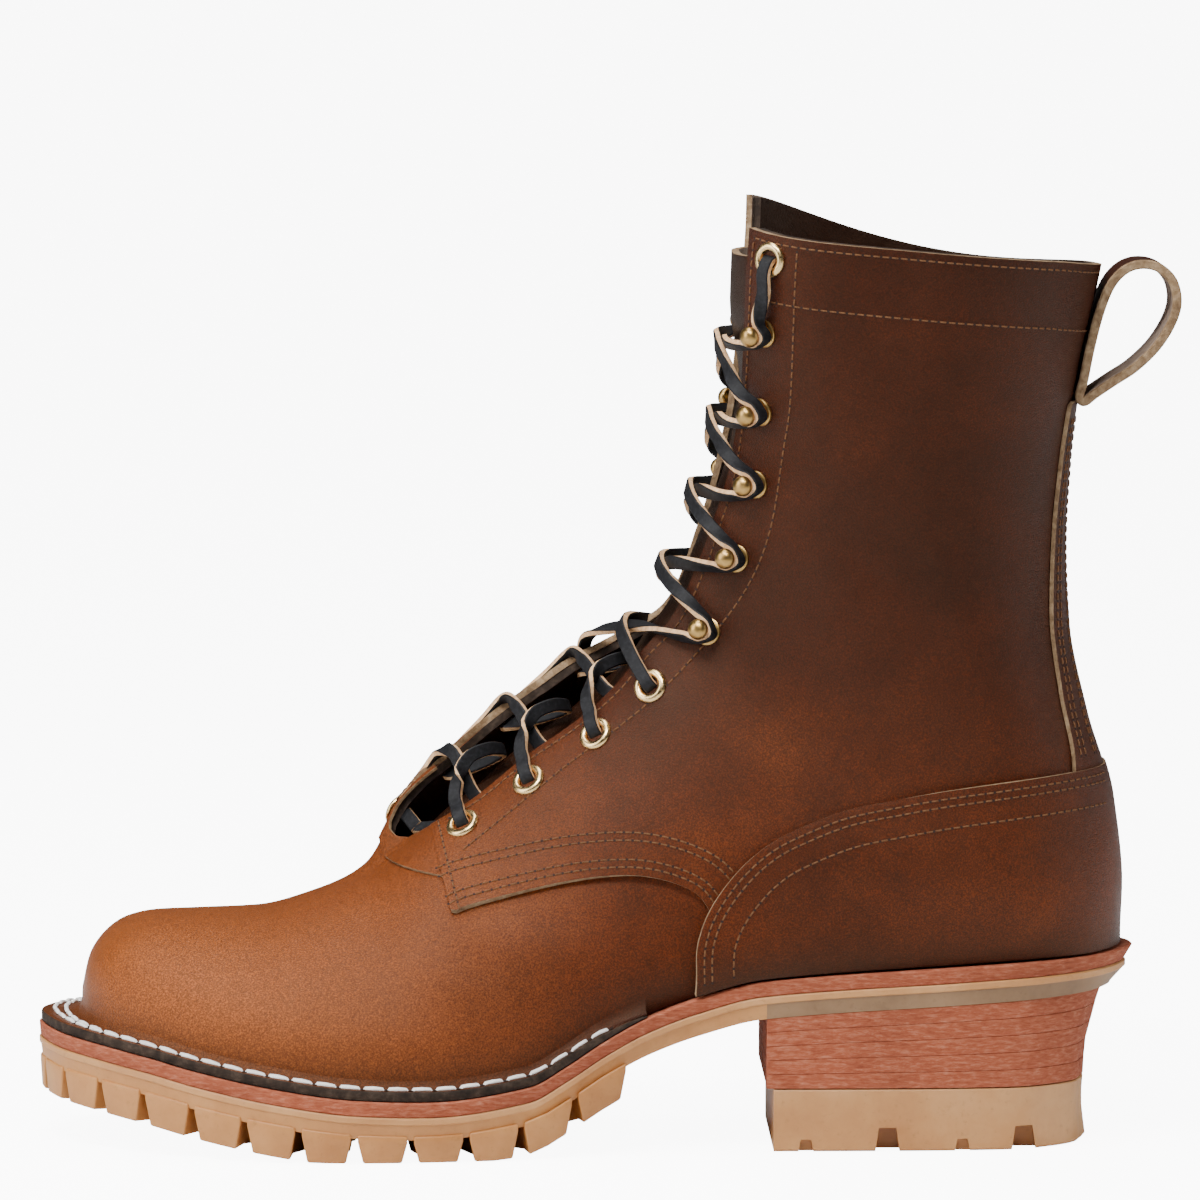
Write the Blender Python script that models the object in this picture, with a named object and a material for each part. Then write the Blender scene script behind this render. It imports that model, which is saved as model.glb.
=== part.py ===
"""Logger boot for the left foot: an eight-inch lace-up work boot with a high block heel.

The toe points to -X, the outer (lateral) side of the foot is -Y, and the sole stands on z = 0.
The origin is on the floor, in the middle of the heel.
"""
import math

import bmesh
import bpy
from mathutils import Vector
from mathutils.bvhtree import BVHTree

MM = 0.001

# Driving dimensions
SOLE_LENGTH = 316 * MM
SOLE_WIDTH = 108.5 * MM
UPPER_LENGTH = 301 * MM
UPPER_WIDTH = 104 * MM
COLLAR_HEIGHT = 264 * MM
COLLAR_FALL = 12.4 * MM
COLLAR_TILT = 0.06
HEEL_SEAT = 55.7 * MM
BALL_SEAT = 17.2 * MM
HEEL_BREAST = 46 * MM
SOLE_OVERHANG = 60.8 * MM
HEEL_LIP = 2.9 * MM

# Leather and rubber thicknesses, and the gap between pieces that touch
WALL = 2.4 * MM
QUARTER = 2.0 * MM
COUNTER = 1.8 * MM
TONGUE = 2.2 * MM
INSOLE = 3.0 * MM
WELT = 3.1 * MM
MIDSOLE = 4.3 * MM
OUTSOLE = 6.5 * MM
SOLE_DEPTH = 19.2 * MM
TOP_LIFT = 17.8 * MM
HEEL_LIFTS = 5
GAP = 0.3 * MM

# Lace, hooks and eyelets
EYELET_RADIUS = 4.6 * MM
EYELET_BORE = 2.4 * MM
EYELET_BARREL = 2.9 * MM
EYELET_FLANGE = 0.9 * MM
EYELET_REACH = 3.4 * MM
HOOK_BASE = 3.5 * MM
HOOK_NECK = 1.3 * MM
HOOK_BALL = 2.9 * MM
HOOK_HEIGHT = 8.8 * MM
LACE_WIDTH = 4.0 * MM
LACE_THICKNESS = 2.0 * MM
LACE_LIFT = 0.9 * MM
FACING_SETBACK = 8.5 * MM

# Tread
LUG_PITCH = 16 * MM
LUG_GAP = 5 * MM
TREAD_CHANNEL = 58.5 * MM
LUG_WAIST = 0.68
LUG_FOOT = 0.86
CROSS_SPAN = 15 * MM
CROSS_ARM = 4.2 * MM
CROSS_PITCH = 22 * MM
LUG_ROOT = 1.2 * MM

# Mesh fineness
RINGS = 29
RING_POINTS = 26
SOLE_STEP = 8 * MM
SOLE_END_STEPS = (0.2 * MM, 1.0 * MM, 3.0 * MM)
UNDER_SEAT = 14 * MM

UPPER_BACK = SOLE_OVERHANG - HEEL_LIP
BREAST_X = -HEEL_BREAST
LUG_LENGTH = (SOLE_WIDTH - TREAD_CHANNEL) / 2

# Reach of cutters and rays past the boot
ROOM = 0.83 * SOLE_WIDTH
FAR_FRONT = UPPER_BACK - 1.2 * UPPER_LENGTH
BEHIND = 0.1 * UPPER_LENGTH

# Height of the midsole's top over the ball seat, as a share of the heel's rise
# along from the back, as a share of SOLE_LENGTH; rise, as a share of HEEL_SEAT - BALL_SEAT
SEAT_LINE = (
    (0.000, 1.000),
    (0.167, 0.922),
    (0.341, 0.826),
    (0.397, 0.714),
    (0.446, 0.571),
    (0.484, 0.410),
    (0.520, 0.226),
    (0.553, 0.088),
    (0.642, 0.000),
    (0.705, 0.016),
    (0.784, 0.094),
    (0.857, 0.205),
    (0.898, 0.281),
    (1.000, 0.410),
)

# Plan of the sole: along, as a share of SOLE_LENGTH; lateral and medial half-widths,
# as shares of SOLE_WIDTH. The first and the last row are single points.
SOLE_PLAN = (
    (0.000, 0.000, 0.000),
    (0.025, 0.190, 0.190),
    (0.080, 0.304, 0.304),
    (0.150, 0.341, 0.341),
    (0.250, 0.350, 0.341),
    (0.350, 0.352, 0.315),
    (0.420, 0.370, 0.305),
    (0.500, 0.424, 0.306),
    (0.580, 0.488, 0.350),
    (0.660, 0.525, 0.424),
    (0.720, 0.530, 0.470),
    (0.780, 0.507, 0.497),
    (0.850, 0.442, 0.497),
    (0.910, 0.350, 0.451),
    (0.960, 0.221, 0.350),
    (0.985, 0.111, 0.249),
    (1.000, -0.067, 0.067),
)

# Sections of the last, from the toe to the collar. Each is a slice through the boot
# from a low or back end to a top or front end.
# back_along and front_along are shares of UPPER_LENGTH from the back; back_height and
# front_height are shares of COLLAR_HEIGHT, and no back_height means under the seat line;
# lateral, medial and ridge are shares of UPPER_WIDTH; swell is the share of the slice at
# which it is widest; low and high are the roundness of its two ends.
SECTIONS = (
    (0.998, 0.106, 0.998, 0.165, 0.024, 0.168, 0.067, 0.60, 2.60, 2.60),
    (0.992, 0.088, 0.992, 0.195, 0.111, 0.245, 0.067, 0.56, 2.60, 2.60),
    (0.978, 0.074, 0.978, 0.219, 0.202, 0.327, 0.067, 0.52, 2.60, 2.60),
    (0.956, None, 0.956, 0.236, 0.279, 0.385, 0.062, 0.47, 2.60, 2.60),
    (0.927, None, 0.927, 0.243, 0.341, 0.428, 0.058, 0.44, 2.60, 2.50),
    (0.883, None, 0.883, 0.245, 0.409, 0.457, 0.058, 0.42, 2.70, 2.40),
    (0.830, None, 0.830, 0.249, 0.462, 0.471, 0.048, 0.40, 2.80, 2.20),
    (0.777, None, 0.777, 0.265, 0.495, 0.466, 0.043, 0.37, 2.90, 2.00),
    (0.724, None, 0.721, 0.288, 0.510, 0.442, 0.038, 0.33, 3.00, 1.85),
    (0.671, None, 0.667, 0.339, 0.500, 0.404, 0.038, 0.30, 3.00, 1.75),
    (0.611, None, 0.618, 0.381, 0.471, 0.365, 0.038, 0.28, 3.00, 1.75),
    (0.545, None, 0.569, 0.428, 0.433, 0.337, 0.034, 0.27, 3.00, 1.80),
    (0.471, None, 0.525, 0.468, 0.389, 0.322, 0.029, 0.28, 3.00, 1.85),
    (0.392, None, 0.488, 0.515, 0.361, 0.322, 0.029, 0.30, 3.00, 1.95),
    (0.305, None, 0.465, 0.557, 0.346, 0.327, 0.024, 0.31, 3.00, 2.05),
    (0.216, None, 0.445, 0.591, 0.341, 0.332, 0.024, 0.32, 2.90, 2.15),
    (0.133, None, 0.428, 0.627, 0.337, 0.337, 0.024, 0.33, 2.80, 2.30),
    (0.066, None, 0.414, 0.665, 0.341, 0.341, 0.024, 0.34, 2.50, 2.50),
    (0.016, 0.174, 0.401, 0.703, 0.346, 0.346, 0.019, 0.35, 2.10, 2.70),
    (0.014, 0.273, 0.390, 0.739, 0.346, 0.346, 0.019, 0.36, 2.10, 2.90),
    (0.022, 0.371, 0.382, 0.777, 0.341, 0.346, 0.014, 0.38, 2.10, 3.10),
    (0.045, 0.462, 0.376, 0.814, 0.346, 0.356, 0.010, 0.42, 2.10, 3.20),
    (0.063, 0.561, 0.373, 0.852, 0.361, 0.370, 0.000, 0.46, 2.10, 3.20),
    (0.067, 0.652, 0.372, 0.890, 0.375, 0.385, -0.010, 0.48, 2.15, 3.20),
    (0.063, 0.742, 0.371, 0.928, 0.389, 0.399, -0.019, 0.50, 2.15, 3.20),
    (0.051, 0.841, 0.370, 0.966, 0.404, 0.413, -0.029, 0.50, 2.15, 3.20),
    (0.035, 0.924, 0.369, 1.008, 0.413, 0.423, -0.029, 0.50, 2.15, 3.20),
    (0.023, 0.992, 0.369, 1.061, 0.418, 0.428, -0.029, 0.50, 2.15, 3.20),
)

# Side outlines of the overlays: along, as a share of UPPER_LENGTH from the back;
# height, as a share of COLLAR_HEIGHT
QUARTER_EDGE = (
    (0.720, 0.490),
    (0.664, 0.345),
    (0.644, 0.262),
    (0.620, 0.272),
    (0.541, 0.294),
    (0.484, 0.302),
    (0.446, 0.298),
    (0.413, 0.283),
    (0.398, 0.260),
    (0.409, 0.204),
    (0.412, 0.100),
)
COUNTER_EDGE = (
    (0.416, 0.100),
    (0.412, 0.184),
    (0.411, 0.228),
    (0.398, 0.268),
    (0.373, 0.307),
    (0.345, 0.335),
    (0.315, 0.353),
    (0.271, 0.372),
    (0.220, 0.384),
    (0.164, 0.395),
    (0.087, 0.406),
    (0.026, 0.411),
    (-0.050, 0.412),
)
FLAP_EDGE = (
    (0.680, 0.420),
    (0.722, 0.345),
    (0.708, 0.305),
    (0.677, 0.300),
    (0.640, 0.295),
    (0.600, 0.345),
)

# Throat: height, as a share of COLLAR_HEIGHT; middle and half-width, as shares of UPPER_WIDTH
THROAT = (
    (0.326, 0.034, 0.030),
    (0.338, 0.034, 0.075),
    (0.362, 0.034, 0.094),
    (0.420, 0.031, 0.100),
    (0.500, 0.025, 0.130),
    (0.560, 0.020, 0.140),
    (0.640, 0.012, 0.154),
    (0.721, 0.000, 0.168),
    (0.800, -0.008, 0.190),
    (0.886, -0.014, 0.235),
    (1.000, -0.020, 0.275),
    (1.200, -0.020, 0.290),
)

# Heights of the lacing rows, as shares of COLLAR_HEIGHT, and what sits there
LACING = (
    (0.348, "eyelet"),
    (0.396, "eyelet"),
    (0.447, "eyelet"),
    (0.500, "eyelet"),
    (0.560, "hook"),
    (0.640, "hook"),
    (0.721, "hook"),
    (0.800, "hook"),
    (0.886, "hook"),
    (0.966, "eyelet"),
)

# Middle line of the pull loop: along and height, as in the side outlines
PULL_LOOP = (
    (0.033, 0.814),
    (0.019, 0.822),
    (-0.003, 0.837),
    (-0.028, 0.862),
    (-0.043, 0.890),
    (-0.050, 0.913),
    (-0.045, 0.934),
    (-0.030, 0.949),
    (-0.014, 0.952),
    (0.002, 0.946),
    (0.0155, 0.932),
    (0.0245, 0.902),
    (0.0330, 0.864),
    (0.0385, 0.830),
)
LOOP_WIDTH = 22 * MM
LOOP_THICKNESS = 2.6 * MM

# Half-width of the backstay: height, as a share of COLLAR_HEIGHT; share of UPPER_WIDTH
BACKSTAY_HALF = (
    (0.412, 0.265),
    (0.510, 0.225),
    (0.620, 0.190),
    (0.803, 0.145),
)

# How far the heel's back and sides stand in from the sole's plan, by height as a share of
# HEEL_SEAT and inset as a share of SOLE_LENGTH
HEEL_CURVE = (
    (0.000, 0.0430),
    (0.200, 0.0470),
    (0.323, 0.0455),
    (0.467, 0.0435),
    (0.592, 0.0370),
    (0.740, 0.0280),
    (0.838, 0.0150),
    (1.000, 0.0000),
)
HEEL_SIDE_SHARE = 0.12

# Side notches of the top lift: place from the breast, width, height and depth
HEEL_NOTCHES = (
    (0.12, 5.5 * MM, 3.5 * MM, 2.5 * MM),
    (0.37, 9.0 * MM, 6.8 * MM, 7.0 * MM),
    (0.60, 5.5 * MM, 3.5 * MM, 2.5 * MM),
    (0.79, 9.0 * MM, 6.8 * MM, 7.0 * MM),
)

# Colour, roughness and metallic value
FINISHES = {
    "leather_brown": ((0.15, 0.045, 0.018), 0.62, 0.0),
    "leather_raw": ((0.40, 0.15, 0.09), 0.8, 0.0),
    "leather_insole": ((0.42, 0.29, 0.17), 0.8, 0.0),
    "rubber_honey": ((0.47, 0.27, 0.13), 0.6, 0.0),
    "lace_black": ((0.03, 0.03, 0.035), 0.6, 0.0),
    "brass": ((0.80, 0.62, 0.33), 0.3, 1.0),
}


def smooth(table, column, at):
    """Read a column of a table at a key, with a smooth curve that does not overshoot."""
    keys = [row[0] for row in table]
    values = [row[column] for row in table]
    if at <= keys[0]:
        return values[0]
    if at >= keys[-1]:
        return values[-1]
    slopes = []
    for i in range(len(keys) - 1):
        slopes.append((values[i + 1] - values[i]) / (keys[i + 1] - keys[i]))
    tangents = [slopes[0]]
    for before, after in zip(slopes, slopes[1:]):
        if before * after <= 0.0:
            tangents.append(0.0)
        else:
            tangents.append(2.0 * before * after / (before + after))
    tangents.append(slopes[-1])
    i = max(k for k in range(len(keys) - 1) if keys[k] <= at)
    span = keys[i + 1] - keys[i]
    u = (at - keys[i]) / span
    return (
        values[i] * (1 + 2 * u) * (1 - u) ** 2
        + values[i + 1] * u * u * (3 - 2 * u)
        + tangents[i] * span * u * (1 - u) ** 2
        - tangents[i + 1] * span * u * u * (1 - u)
    )


def spline(points, closed, count):
    """Points along a smooth curve through the given ones."""
    total = len(points)
    spans = total if closed else total - 1
    result = []
    for step in range(count):
        at = step * spans / (count if closed else count - 1)
        i = min(int(at), spans - 1)
        u = at - i
        if closed:
            a, b, c, d = (points[(i + k) % total] for k in (-1, 0, 1, 2))
        else:
            a, b, c, d = (points[min(max(i + k, 0), total - 1)] for k in (-1, 0, 1, 2))
        result.append(
            0.5 * (2 * b + (c - a) * u + (2 * a - 5 * b + 4 * c - d) * u * u
                   + (3 * b - a - 3 * c + d) * u ** 3)
        )
    return result


def seat_knots():
    """Places along the sole at which every sole layer has its corners, from the back."""
    start = SOLE_OVERHANG + SOLE_STEP
    count = math.ceil((SOLE_LENGTH + 3 * SOLE_STEP) / SOLE_STEP)
    knots = []
    for step in range(count + 1):
        x = start - step * SOLE_STEP
        along = (SOLE_OVERHANG - x) / SOLE_LENGTH
        knots.append((x, BALL_SEAT + (HEEL_SEAT - BALL_SEAT) * smooth(SEAT_LINE, 1, along)))
    return knots


KNOTS = seat_knots()


def seat(x):
    """Height of the midsole's top, straight between the knots."""
    i = min(max(int((KNOTS[0][0] - x) / SOLE_STEP), 0), len(KNOTS) - 2)
    u = (KNOTS[i][0] - x) / SOLE_STEP
    return KNOTS[i][1] + (KNOTS[i + 1][1] - KNOTS[i][1]) * u


def side_point(row):
    """A row of a side outline as a point in the XZ plane."""
    return Vector((UPPER_BACK - row[0] * UPPER_LENGTH, 0.0, row[1] * COLLAR_HEIGHT))


# Objects and Booleans

def material(name):
    existing = bpy.data.materials.get(name)
    if existing:
        return existing
    colour, roughness, metallic = FINISHES[name]
    made = bpy.data.materials.new(name)
    made.use_nodes = True
    shader = made.node_tree.nodes["Principled BSDF"]
    shader.inputs["Base Color"].default_value = (*colour, 1.0)
    shader.inputs["Roughness"].default_value = roughness
    shader.inputs["Metallic"].default_value = metallic
    return made


def solid(name, points, faces, finish=None):
    """A mesh object from points and faces, with its faces turned outwards."""
    mesh = bpy.data.meshes.new(name)
    mesh.from_pydata([tuple(p) for p in points], [], faces)
    work = bmesh.new()
    work.from_mesh(mesh)
    bmesh.ops.recalc_face_normals(work, faces=work.faces)
    work.to_mesh(mesh)
    work.free()
    made = bpy.data.objects.new(name, mesh)
    bpy.context.scene.collection.objects.link(made)
    if finish:
        mesh.materials.append(material(finish))
    return made


def combine(target, other, operation):
    """Apply a Boolean of another object to the target, and remove the other object."""
    modifier = target.modifiers.new(operation.lower(), "BOOLEAN")
    modifier.operation = operation
    modifier.solver = "EXACT"
    modifier.object = other
    bpy.context.view_layer.update()
    graph = bpy.context.evaluated_depsgraph_get()
    mesh = bpy.data.meshes.new_from_object(target.evaluated_get(graph))
    old = target.data
    target.modifiers.clear()
    target.data = mesh
    mesh.name = target.name
    bpy.data.meshes.remove(old)
    bpy.data.objects.remove(other, do_unlink=True)
    return target


def finish_mesh(target, finish):
    """Join doubled points, drop slivers and give the piece its one material."""
    work = bmesh.new()
    work.from_mesh(target.data)
    bmesh.ops.remove_doubles(work, verts=work.verts, dist=0.00002)
    bmesh.ops.dissolve_degenerate(work, edges=work.edges, dist=0.00002)
    bmesh.ops.triangulate(work, faces=work.faces)
    work.to_mesh(target.data)
    work.free()
    target.data.materials.clear()
    target.data.materials.append(material(finish))
    return target


def prism(name, outline, axis, low, high):
    """An outline in one plane, drawn out along the axis across it."""
    count = len(outline)
    points = []
    for level in (low, high):
        for point in outline:
            moved = Vector(point)
            moved[axis] = level
            points.append(moved)
    faces = [tuple(range(count)), tuple(range(2 * count - 1, count - 1, -1))]
    for i in range(count):
        j = (i + 1) % count
        faces.append((i, j, count + j, count + i))
    return solid(name, points, faces)


# The last: one closed form whose surface can be moved out or in

def section(at):
    """The table of sections read between its rows."""
    rows = []
    for index, row in enumerate(SECTIONS):
        x = UPPER_BACK - row[0] * UPPER_LENGTH
        low = seat(x) - UNDER_SEAT if row[1] is None else row[1] * COLLAR_HEIGHT
        front = UPPER_BACK - row[2] * UPPER_LENGTH
        rows.append((index, x, low, front, row[3] * COLLAR_HEIGHT, *row[4:]))
    return [smooth(rows, column, at) for column in range(1, len(rows[0]))]


def ring(at):
    """The points of one section, from its low end round the medial side and back."""
    x, low, front, top, lateral, medial, ridge, swell, low_round, high_round = section(at)
    start = Vector((x, 0.0, low))
    reach = Vector((front - x, 0.0, top - low))
    half = (lateral + medial) * UPPER_WIDTH / 2
    middle = (medial - lateral) * UPPER_WIDTH / 2
    points = []
    for step in range(RING_POINTS):
        angle = 2 * math.pi * step / RING_POINTS
        rise = math.cos(angle)
        if rise > 0.0:
            share = swell * (1 - rise ** (2 / low_round))
            wide = abs(math.sin(angle)) ** (2 / low_round)
            shift = middle
        else:
            part = (-rise) ** (2 / high_round)
            share = swell + (1 - swell) * part
            wide = abs(math.sin(angle)) ** (2 / high_round)
            shift = middle + (ridge * UPPER_WIDTH - middle) * part * part * (3 - 2 * part)
        side = 1.0 if math.sin(angle) >= 0.0 else -1.0
        point = start + reach * share
        point.y = shift + side * half * wide
        points.append(point)
    return points


def last_grid():
    """Rings of points of the last's surface, with the way out at each point."""
    rows = [ring(step * (len(SECTIONS) - 1) / (RINGS - 1)) for step in range(RINGS)]
    outward = []
    for i, row in enumerate(rows):
        before = rows[max(i - 1, 0)]
        after = rows[min(i + 1, RINGS - 1)]
        normals = []
        for j in range(RING_POINTS):
            across = row[(j + 1) % RING_POINTS] - row[j - 1]
            along = after[j] - before[j]
            normals.append(across.cross(along).normalized())
        outward.append(normals)
    return rows, outward


GRID, OUTWARD = last_grid()


def form(name, offset, rise=0.0):
    """The last moved out by an offset, closed at the toe and, raised if need be, at the top."""
    points = []
    for row, normals in zip(GRID, OUTWARD):
        points += [point + normal * offset for point, normal in zip(row, normals)]
    rings = RINGS
    if rise:
        points += [point + Vector((0.0, 0.0, rise)) for point in points[-RING_POINTS:]]
        rings += 1
    faces = []
    for i in range(rings - 1):
        for j in range(RING_POINTS):
            k = (j + 1) % RING_POINTS
            a, b = i * RING_POINTS, (i + 1) * RING_POINTS
            faces.append((a + j, a + k, b + k))
            faces.append((a + j, b + k, b + j))
    toe = sum(GRID[0], Vector()) / RING_POINTS + Vector((-offset - 0.5 * MM, 0.0, 0.0))
    points.append(toe)
    for j in range(RING_POINTS):
        faces.append((len(points) - 1, (j + 1) % RING_POINTS, j))
    top = (rings - 1) * RING_POINTS
    faces.append(tuple(range(top, top + RING_POINTS)))
    return solid(name, points, faces)


def under_seat(name, height, depth=2 * HEEL_SEAT):
    """Everything below a height over the seat line, as a cutter."""
    points = []
    for x, level in KNOTS:
        z = level + height
        for y, level in ((-ROOM, z), (ROOM, z), (ROOM, z - depth), (-ROOM, z - depth)):
            points.append((x, y, level))
    return tube(name, points, 4)


def tube(name, points, corners, finish=None):
    """Rings of points in a row, joined by walls and closed by a face at each end."""
    rings = len(points) // corners
    faces = [tuple(range(corners)), tuple(range(len(points) - 1, len(points) - corners - 1, -1))]
    for i in range(rings - 1):
        for j in range(corners):
            k = (j + 1) % corners
            faces.append((i * corners + j, i * corners + k,
                          (i + 1) * corners + k, (i + 1) * corners + j))
    return solid(name, points, faces, finish)


def above_collar(name):
    """Everything over the slanted collar line, as a cutter."""
    def height(x, y):
        front = UPPER_BACK - 0.366 * UPPER_LENGTH
        share = (x - front) / (UPPER_BACK - front)
        return COLLAR_HEIGHT - COLLAR_FALL * share + COLLAR_TILT * (y + 0.03) * (1 - share)

    points = []
    for step in range(9):
        x = front_reach() + step * (UPPER_BACK + BEHIND - front_reach()) / 8
        points += [(x, -ROOM, height(x, -ROOM)), (x, ROOM, height(x, ROOM)),
                   (x, ROOM, COLLAR_HEIGHT * 1.4), (x, -ROOM, COLLAR_HEIGHT * 1.4)]
    return tube(name, points, 4)


def front_reach():
    return UPPER_BACK - 0.6 * UPPER_LENGTH


def throat(name):
    """The opening for the tongue, drawn along the boot from the front."""
    left = []
    right = []
    for row in THROAT:
        z = row[0] * COLLAR_HEIGHT
        left.append((0.0, (row[1] - row[2]) * UPPER_WIDTH, z))
        right.append((0.0, (row[1] + row[2]) * UPPER_WIDTH, z))
    return prism(name, left + right[::-1], 0, UPPER_BACK - 0.8 * UPPER_LENGTH,
                 UPPER_BACK - 0.22 * UPPER_LENGTH)


def overlay_block(name, edge, closing):
    """A side outline drawn across the boot."""
    outline = [side_point(row) for row in edge] + closing
    return prism(name, outline, 1, -ROOM, ROOM)


def back_corner(height):
    return Vector((UPPER_BACK + BEHIND, 0.0, height))


def layer(name, offset, thickness):
    """A sheet of leather that lies over the last at an offset."""
    return combine(form(name, offset + thickness), form("inside", offset, 0.01), "DIFFERENCE")


def front_spot(surface, y, z):
    """Where a line along the boot from the front meets the surface, and the way out there."""
    spot, normal, _, _ = surface.ray_cast(Vector((FAR_FRONT, y, z)), Vector((1.0, 0.0, 0.0)))
    return spot, normal


def seated(surface, y, z, radius):
    """A place for a round base on the surface, lifted until its rim is clear all round."""
    spot, _ = front_spot(surface, y, z)
    around = [front_spot(surface, y + u * radius, z + v * radius)[0]
              for u, v in ((1, 0), (0, 1), (-1, 0), (0, -1))]
    normal = (around[2] - around[0]).cross(around[1] - around[3]).normalized()
    turn = normal.to_track_quat("Z", "Y").to_matrix()
    sunk = 0.0
    for step in range(12):
        angle = math.pi / 6 * step
        rim = spot + turn @ Vector((radius * math.cos(angle), radius * math.sin(angle), 0.0))
        nearest, out, _, _ = surface.find_nearest(rim)
        sunk = min(sunk, (rim - nearest).dot(out))
    return spot - normal * sunk, normal


def surface_tree(offset):
    body = form("tree", offset)
    tree = BVHTree.FromPolygons(
        [v.co.copy() for v in body.data.vertices],
        [tuple(face.vertices) for face in body.data.polygons])
    bpy.data.objects.remove(body, do_unlink=True)
    return tree


def facing(side, height):
    """Sideways place of the hardware on a facing: side is -1 lateral, 1 medial."""
    middle = smooth(THROAT, 1, height) * UPPER_WIDTH
    half = smooth(THROAT, 2, height) * UPPER_WIDTH
    return middle + side * (half + FACING_SETBACK)


def lathe(name, profile, segments, spot, normal, finish):
    """A profile of (radius, height) turned about the way out at a spot."""
    points = []
    turn = normal.to_track_quat("Z", "Y").to_matrix()
    for radius, height in profile:
        for step in range(segments):
            angle = 2 * math.pi * step / segments
            local = Vector((radius * math.cos(angle), radius * math.sin(angle), height))
            points.append(spot + turn @ local)
    rows = len(profile)
    faces = []
    for i in range(rows):
        for j in range(segments):
            k = (j + 1) % segments
            n = (i + 1) % rows
            faces.append((i * segments + j, i * segments + k, n * segments + k, n * segments + j))
    return solid(name, points, faces, finish)


# Upper

def make_upper(tree):
    upper = form("upper", 0.0)
    quarter = form("quarter", QUARTER)
    low = 0.1 * COLLAR_HEIGHT
    block = overlay_block("quarter_block", QUARTER_EDGE,
                          [back_corner(low), back_corner(COLLAR_HEIGHT * 1.3),
                           Vector((front_reach() - BEHIND, 0.0, COLLAR_HEIGHT * 1.3))])
    combine(upper, combine(quarter, block, "INTERSECT"), "UNION")
    flap = form("flap", QUARTER * 0.9)
    combine(upper, combine(flap, overlay_block("flap_block", FLAP_EDGE, []), "INTERSECT"), "UNION")
    combine(upper, form("cavity", -WALL, 0.02), "DIFFERENCE")
    combine(upper, under_seat("floor", GAP), "DIFFERENCE")
    combine(upper, above_collar("top"), "DIFFERENCE")
    combine(upper, throat("slot"), "DIFFERENCE")
    for height, kind in LACING:
        if kind != "eyelet":
            continue
        for side in (-1, 1):
            spot, normal = seated(tree, facing(side, height), height * COLLAR_HEIGHT,
                                  EYELET_RADIUS)
            radius = EYELET_BARREL + GAP
            reach = 2 * (WALL + QUARTER)
            hole = [(radius, -reach), (radius, reach)]
            combine(upper, rod("hole", hole, spot, normal), "DIFFERENCE")
    return finish_mesh(upper, "leather_brown")


def rod(name, profile, spot, normal, segments=10, finish=None):
    """A solid turned profile with a flat face at each end."""
    turn = normal.to_track_quat("Z", "Y").to_matrix()
    points = []
    for radius, height in profile:
        for step in range(segments):
            angle = 2 * math.pi * step / segments
            local = Vector((radius * math.cos(angle), radius * math.sin(angle), height))
            points.append(spot + turn @ local)
    return tube(name, points, segments, finish)


def make_counter():
    counter = layer("counter", QUARTER + GAP, COUNTER)
    block = overlay_block("counter_block", COUNTER_EDGE, [back_corner(0.1 * COLLAR_HEIGHT)])
    combine(counter, block, "INTERSECT")
    combine(counter, under_seat("floor", GAP), "DIFFERENCE")
    return finish_mesh(counter, "leather_brown")


def make_backstay():
    backstay = layer("backstay", QUARTER + GAP, COUNTER)
    left = []
    right = []
    for height, half in BACKSTAY_HALF:
        z = height * COLLAR_HEIGHT
        left.append((0.0, -half * UPPER_WIDTH, z))
        right.append((0.0, half * UPPER_WIDTH, z))
    left[0] = (0.0, left[0][1], COUNTER_EDGE[-1][1] * COLLAR_HEIGHT + GAP)
    right[0] = (0.0, right[0][1], left[0][2])
    block = prism("strip", left + right[::-1], 0, 0.0, UPPER_BACK + BEHIND)
    combine(backstay, block, "INTERSECT")
    return finish_mesh(backstay, "leather_brown")


def make_pull_loop():
    """A folded strap: the middle line moved out and in by half its thickness."""
    middle = spline([side_point(row) for row in PULL_LOOP], True, 28)
    count = len(middle)
    points = []
    for i, point in enumerate(middle):
        along = middle[(i + 1) % count] - middle[i - 1]
        out = Vector((along.z, 0.0, -along.x)).normalized() * (LOOP_THICKNESS / 2)
        for shift, side in ((out, -1), (out, 1), (-out, 1), (-out, -1)):
            points.append(point + shift + Vector((0.0, side * LOOP_WIDTH / 2, 0.0)))
    faces = []
    for i in range(count):
        n = (i + 1) % count
        for j in range(4):
            k = (j + 1) % 4
            faces.append((i * 4 + j, i * 4 + k, n * 4 + k, n * 4 + j))
    return solid("pull_loop", points, faces, "leather_brown")


def make_tongue():
    tongue = layer("tongue", -WALL - GAP - TONGUE, TONGUE)
    left = []
    right = []
    for height, middle, half in ((0.310, 0.034, 0.20), (0.45, 0.03, 0.27), (0.70, 0.0, 0.33),
                                 (0.945, -0.02, 0.34), (0.968, -0.02, 0.28)):
        z = height * COLLAR_HEIGHT
        left.append((0.0, (middle - half) * UPPER_WIDTH, z))
        right.append((0.0, (middle + half) * UPPER_WIDTH, z))
    block = prism("tongue_block", left + right[::-1], 0, UPPER_BACK - 0.8 * UPPER_LENGTH,
                  UPPER_BACK - 0.22 * UPPER_LENGTH)
    combine(tongue, block, "INTERSECT")
    return finish_mesh(tongue, "leather_brown")


def make_insole():
    insole = form("insole", -WALL - GAP)
    combine(insole, under_seat("board", GAP + INSOLE), "INTERSECT")
    combine(insole, under_seat("floor", GAP), "DIFFERENCE")
    return finish_mesh(insole, "leather_insole")


# Sole

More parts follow.
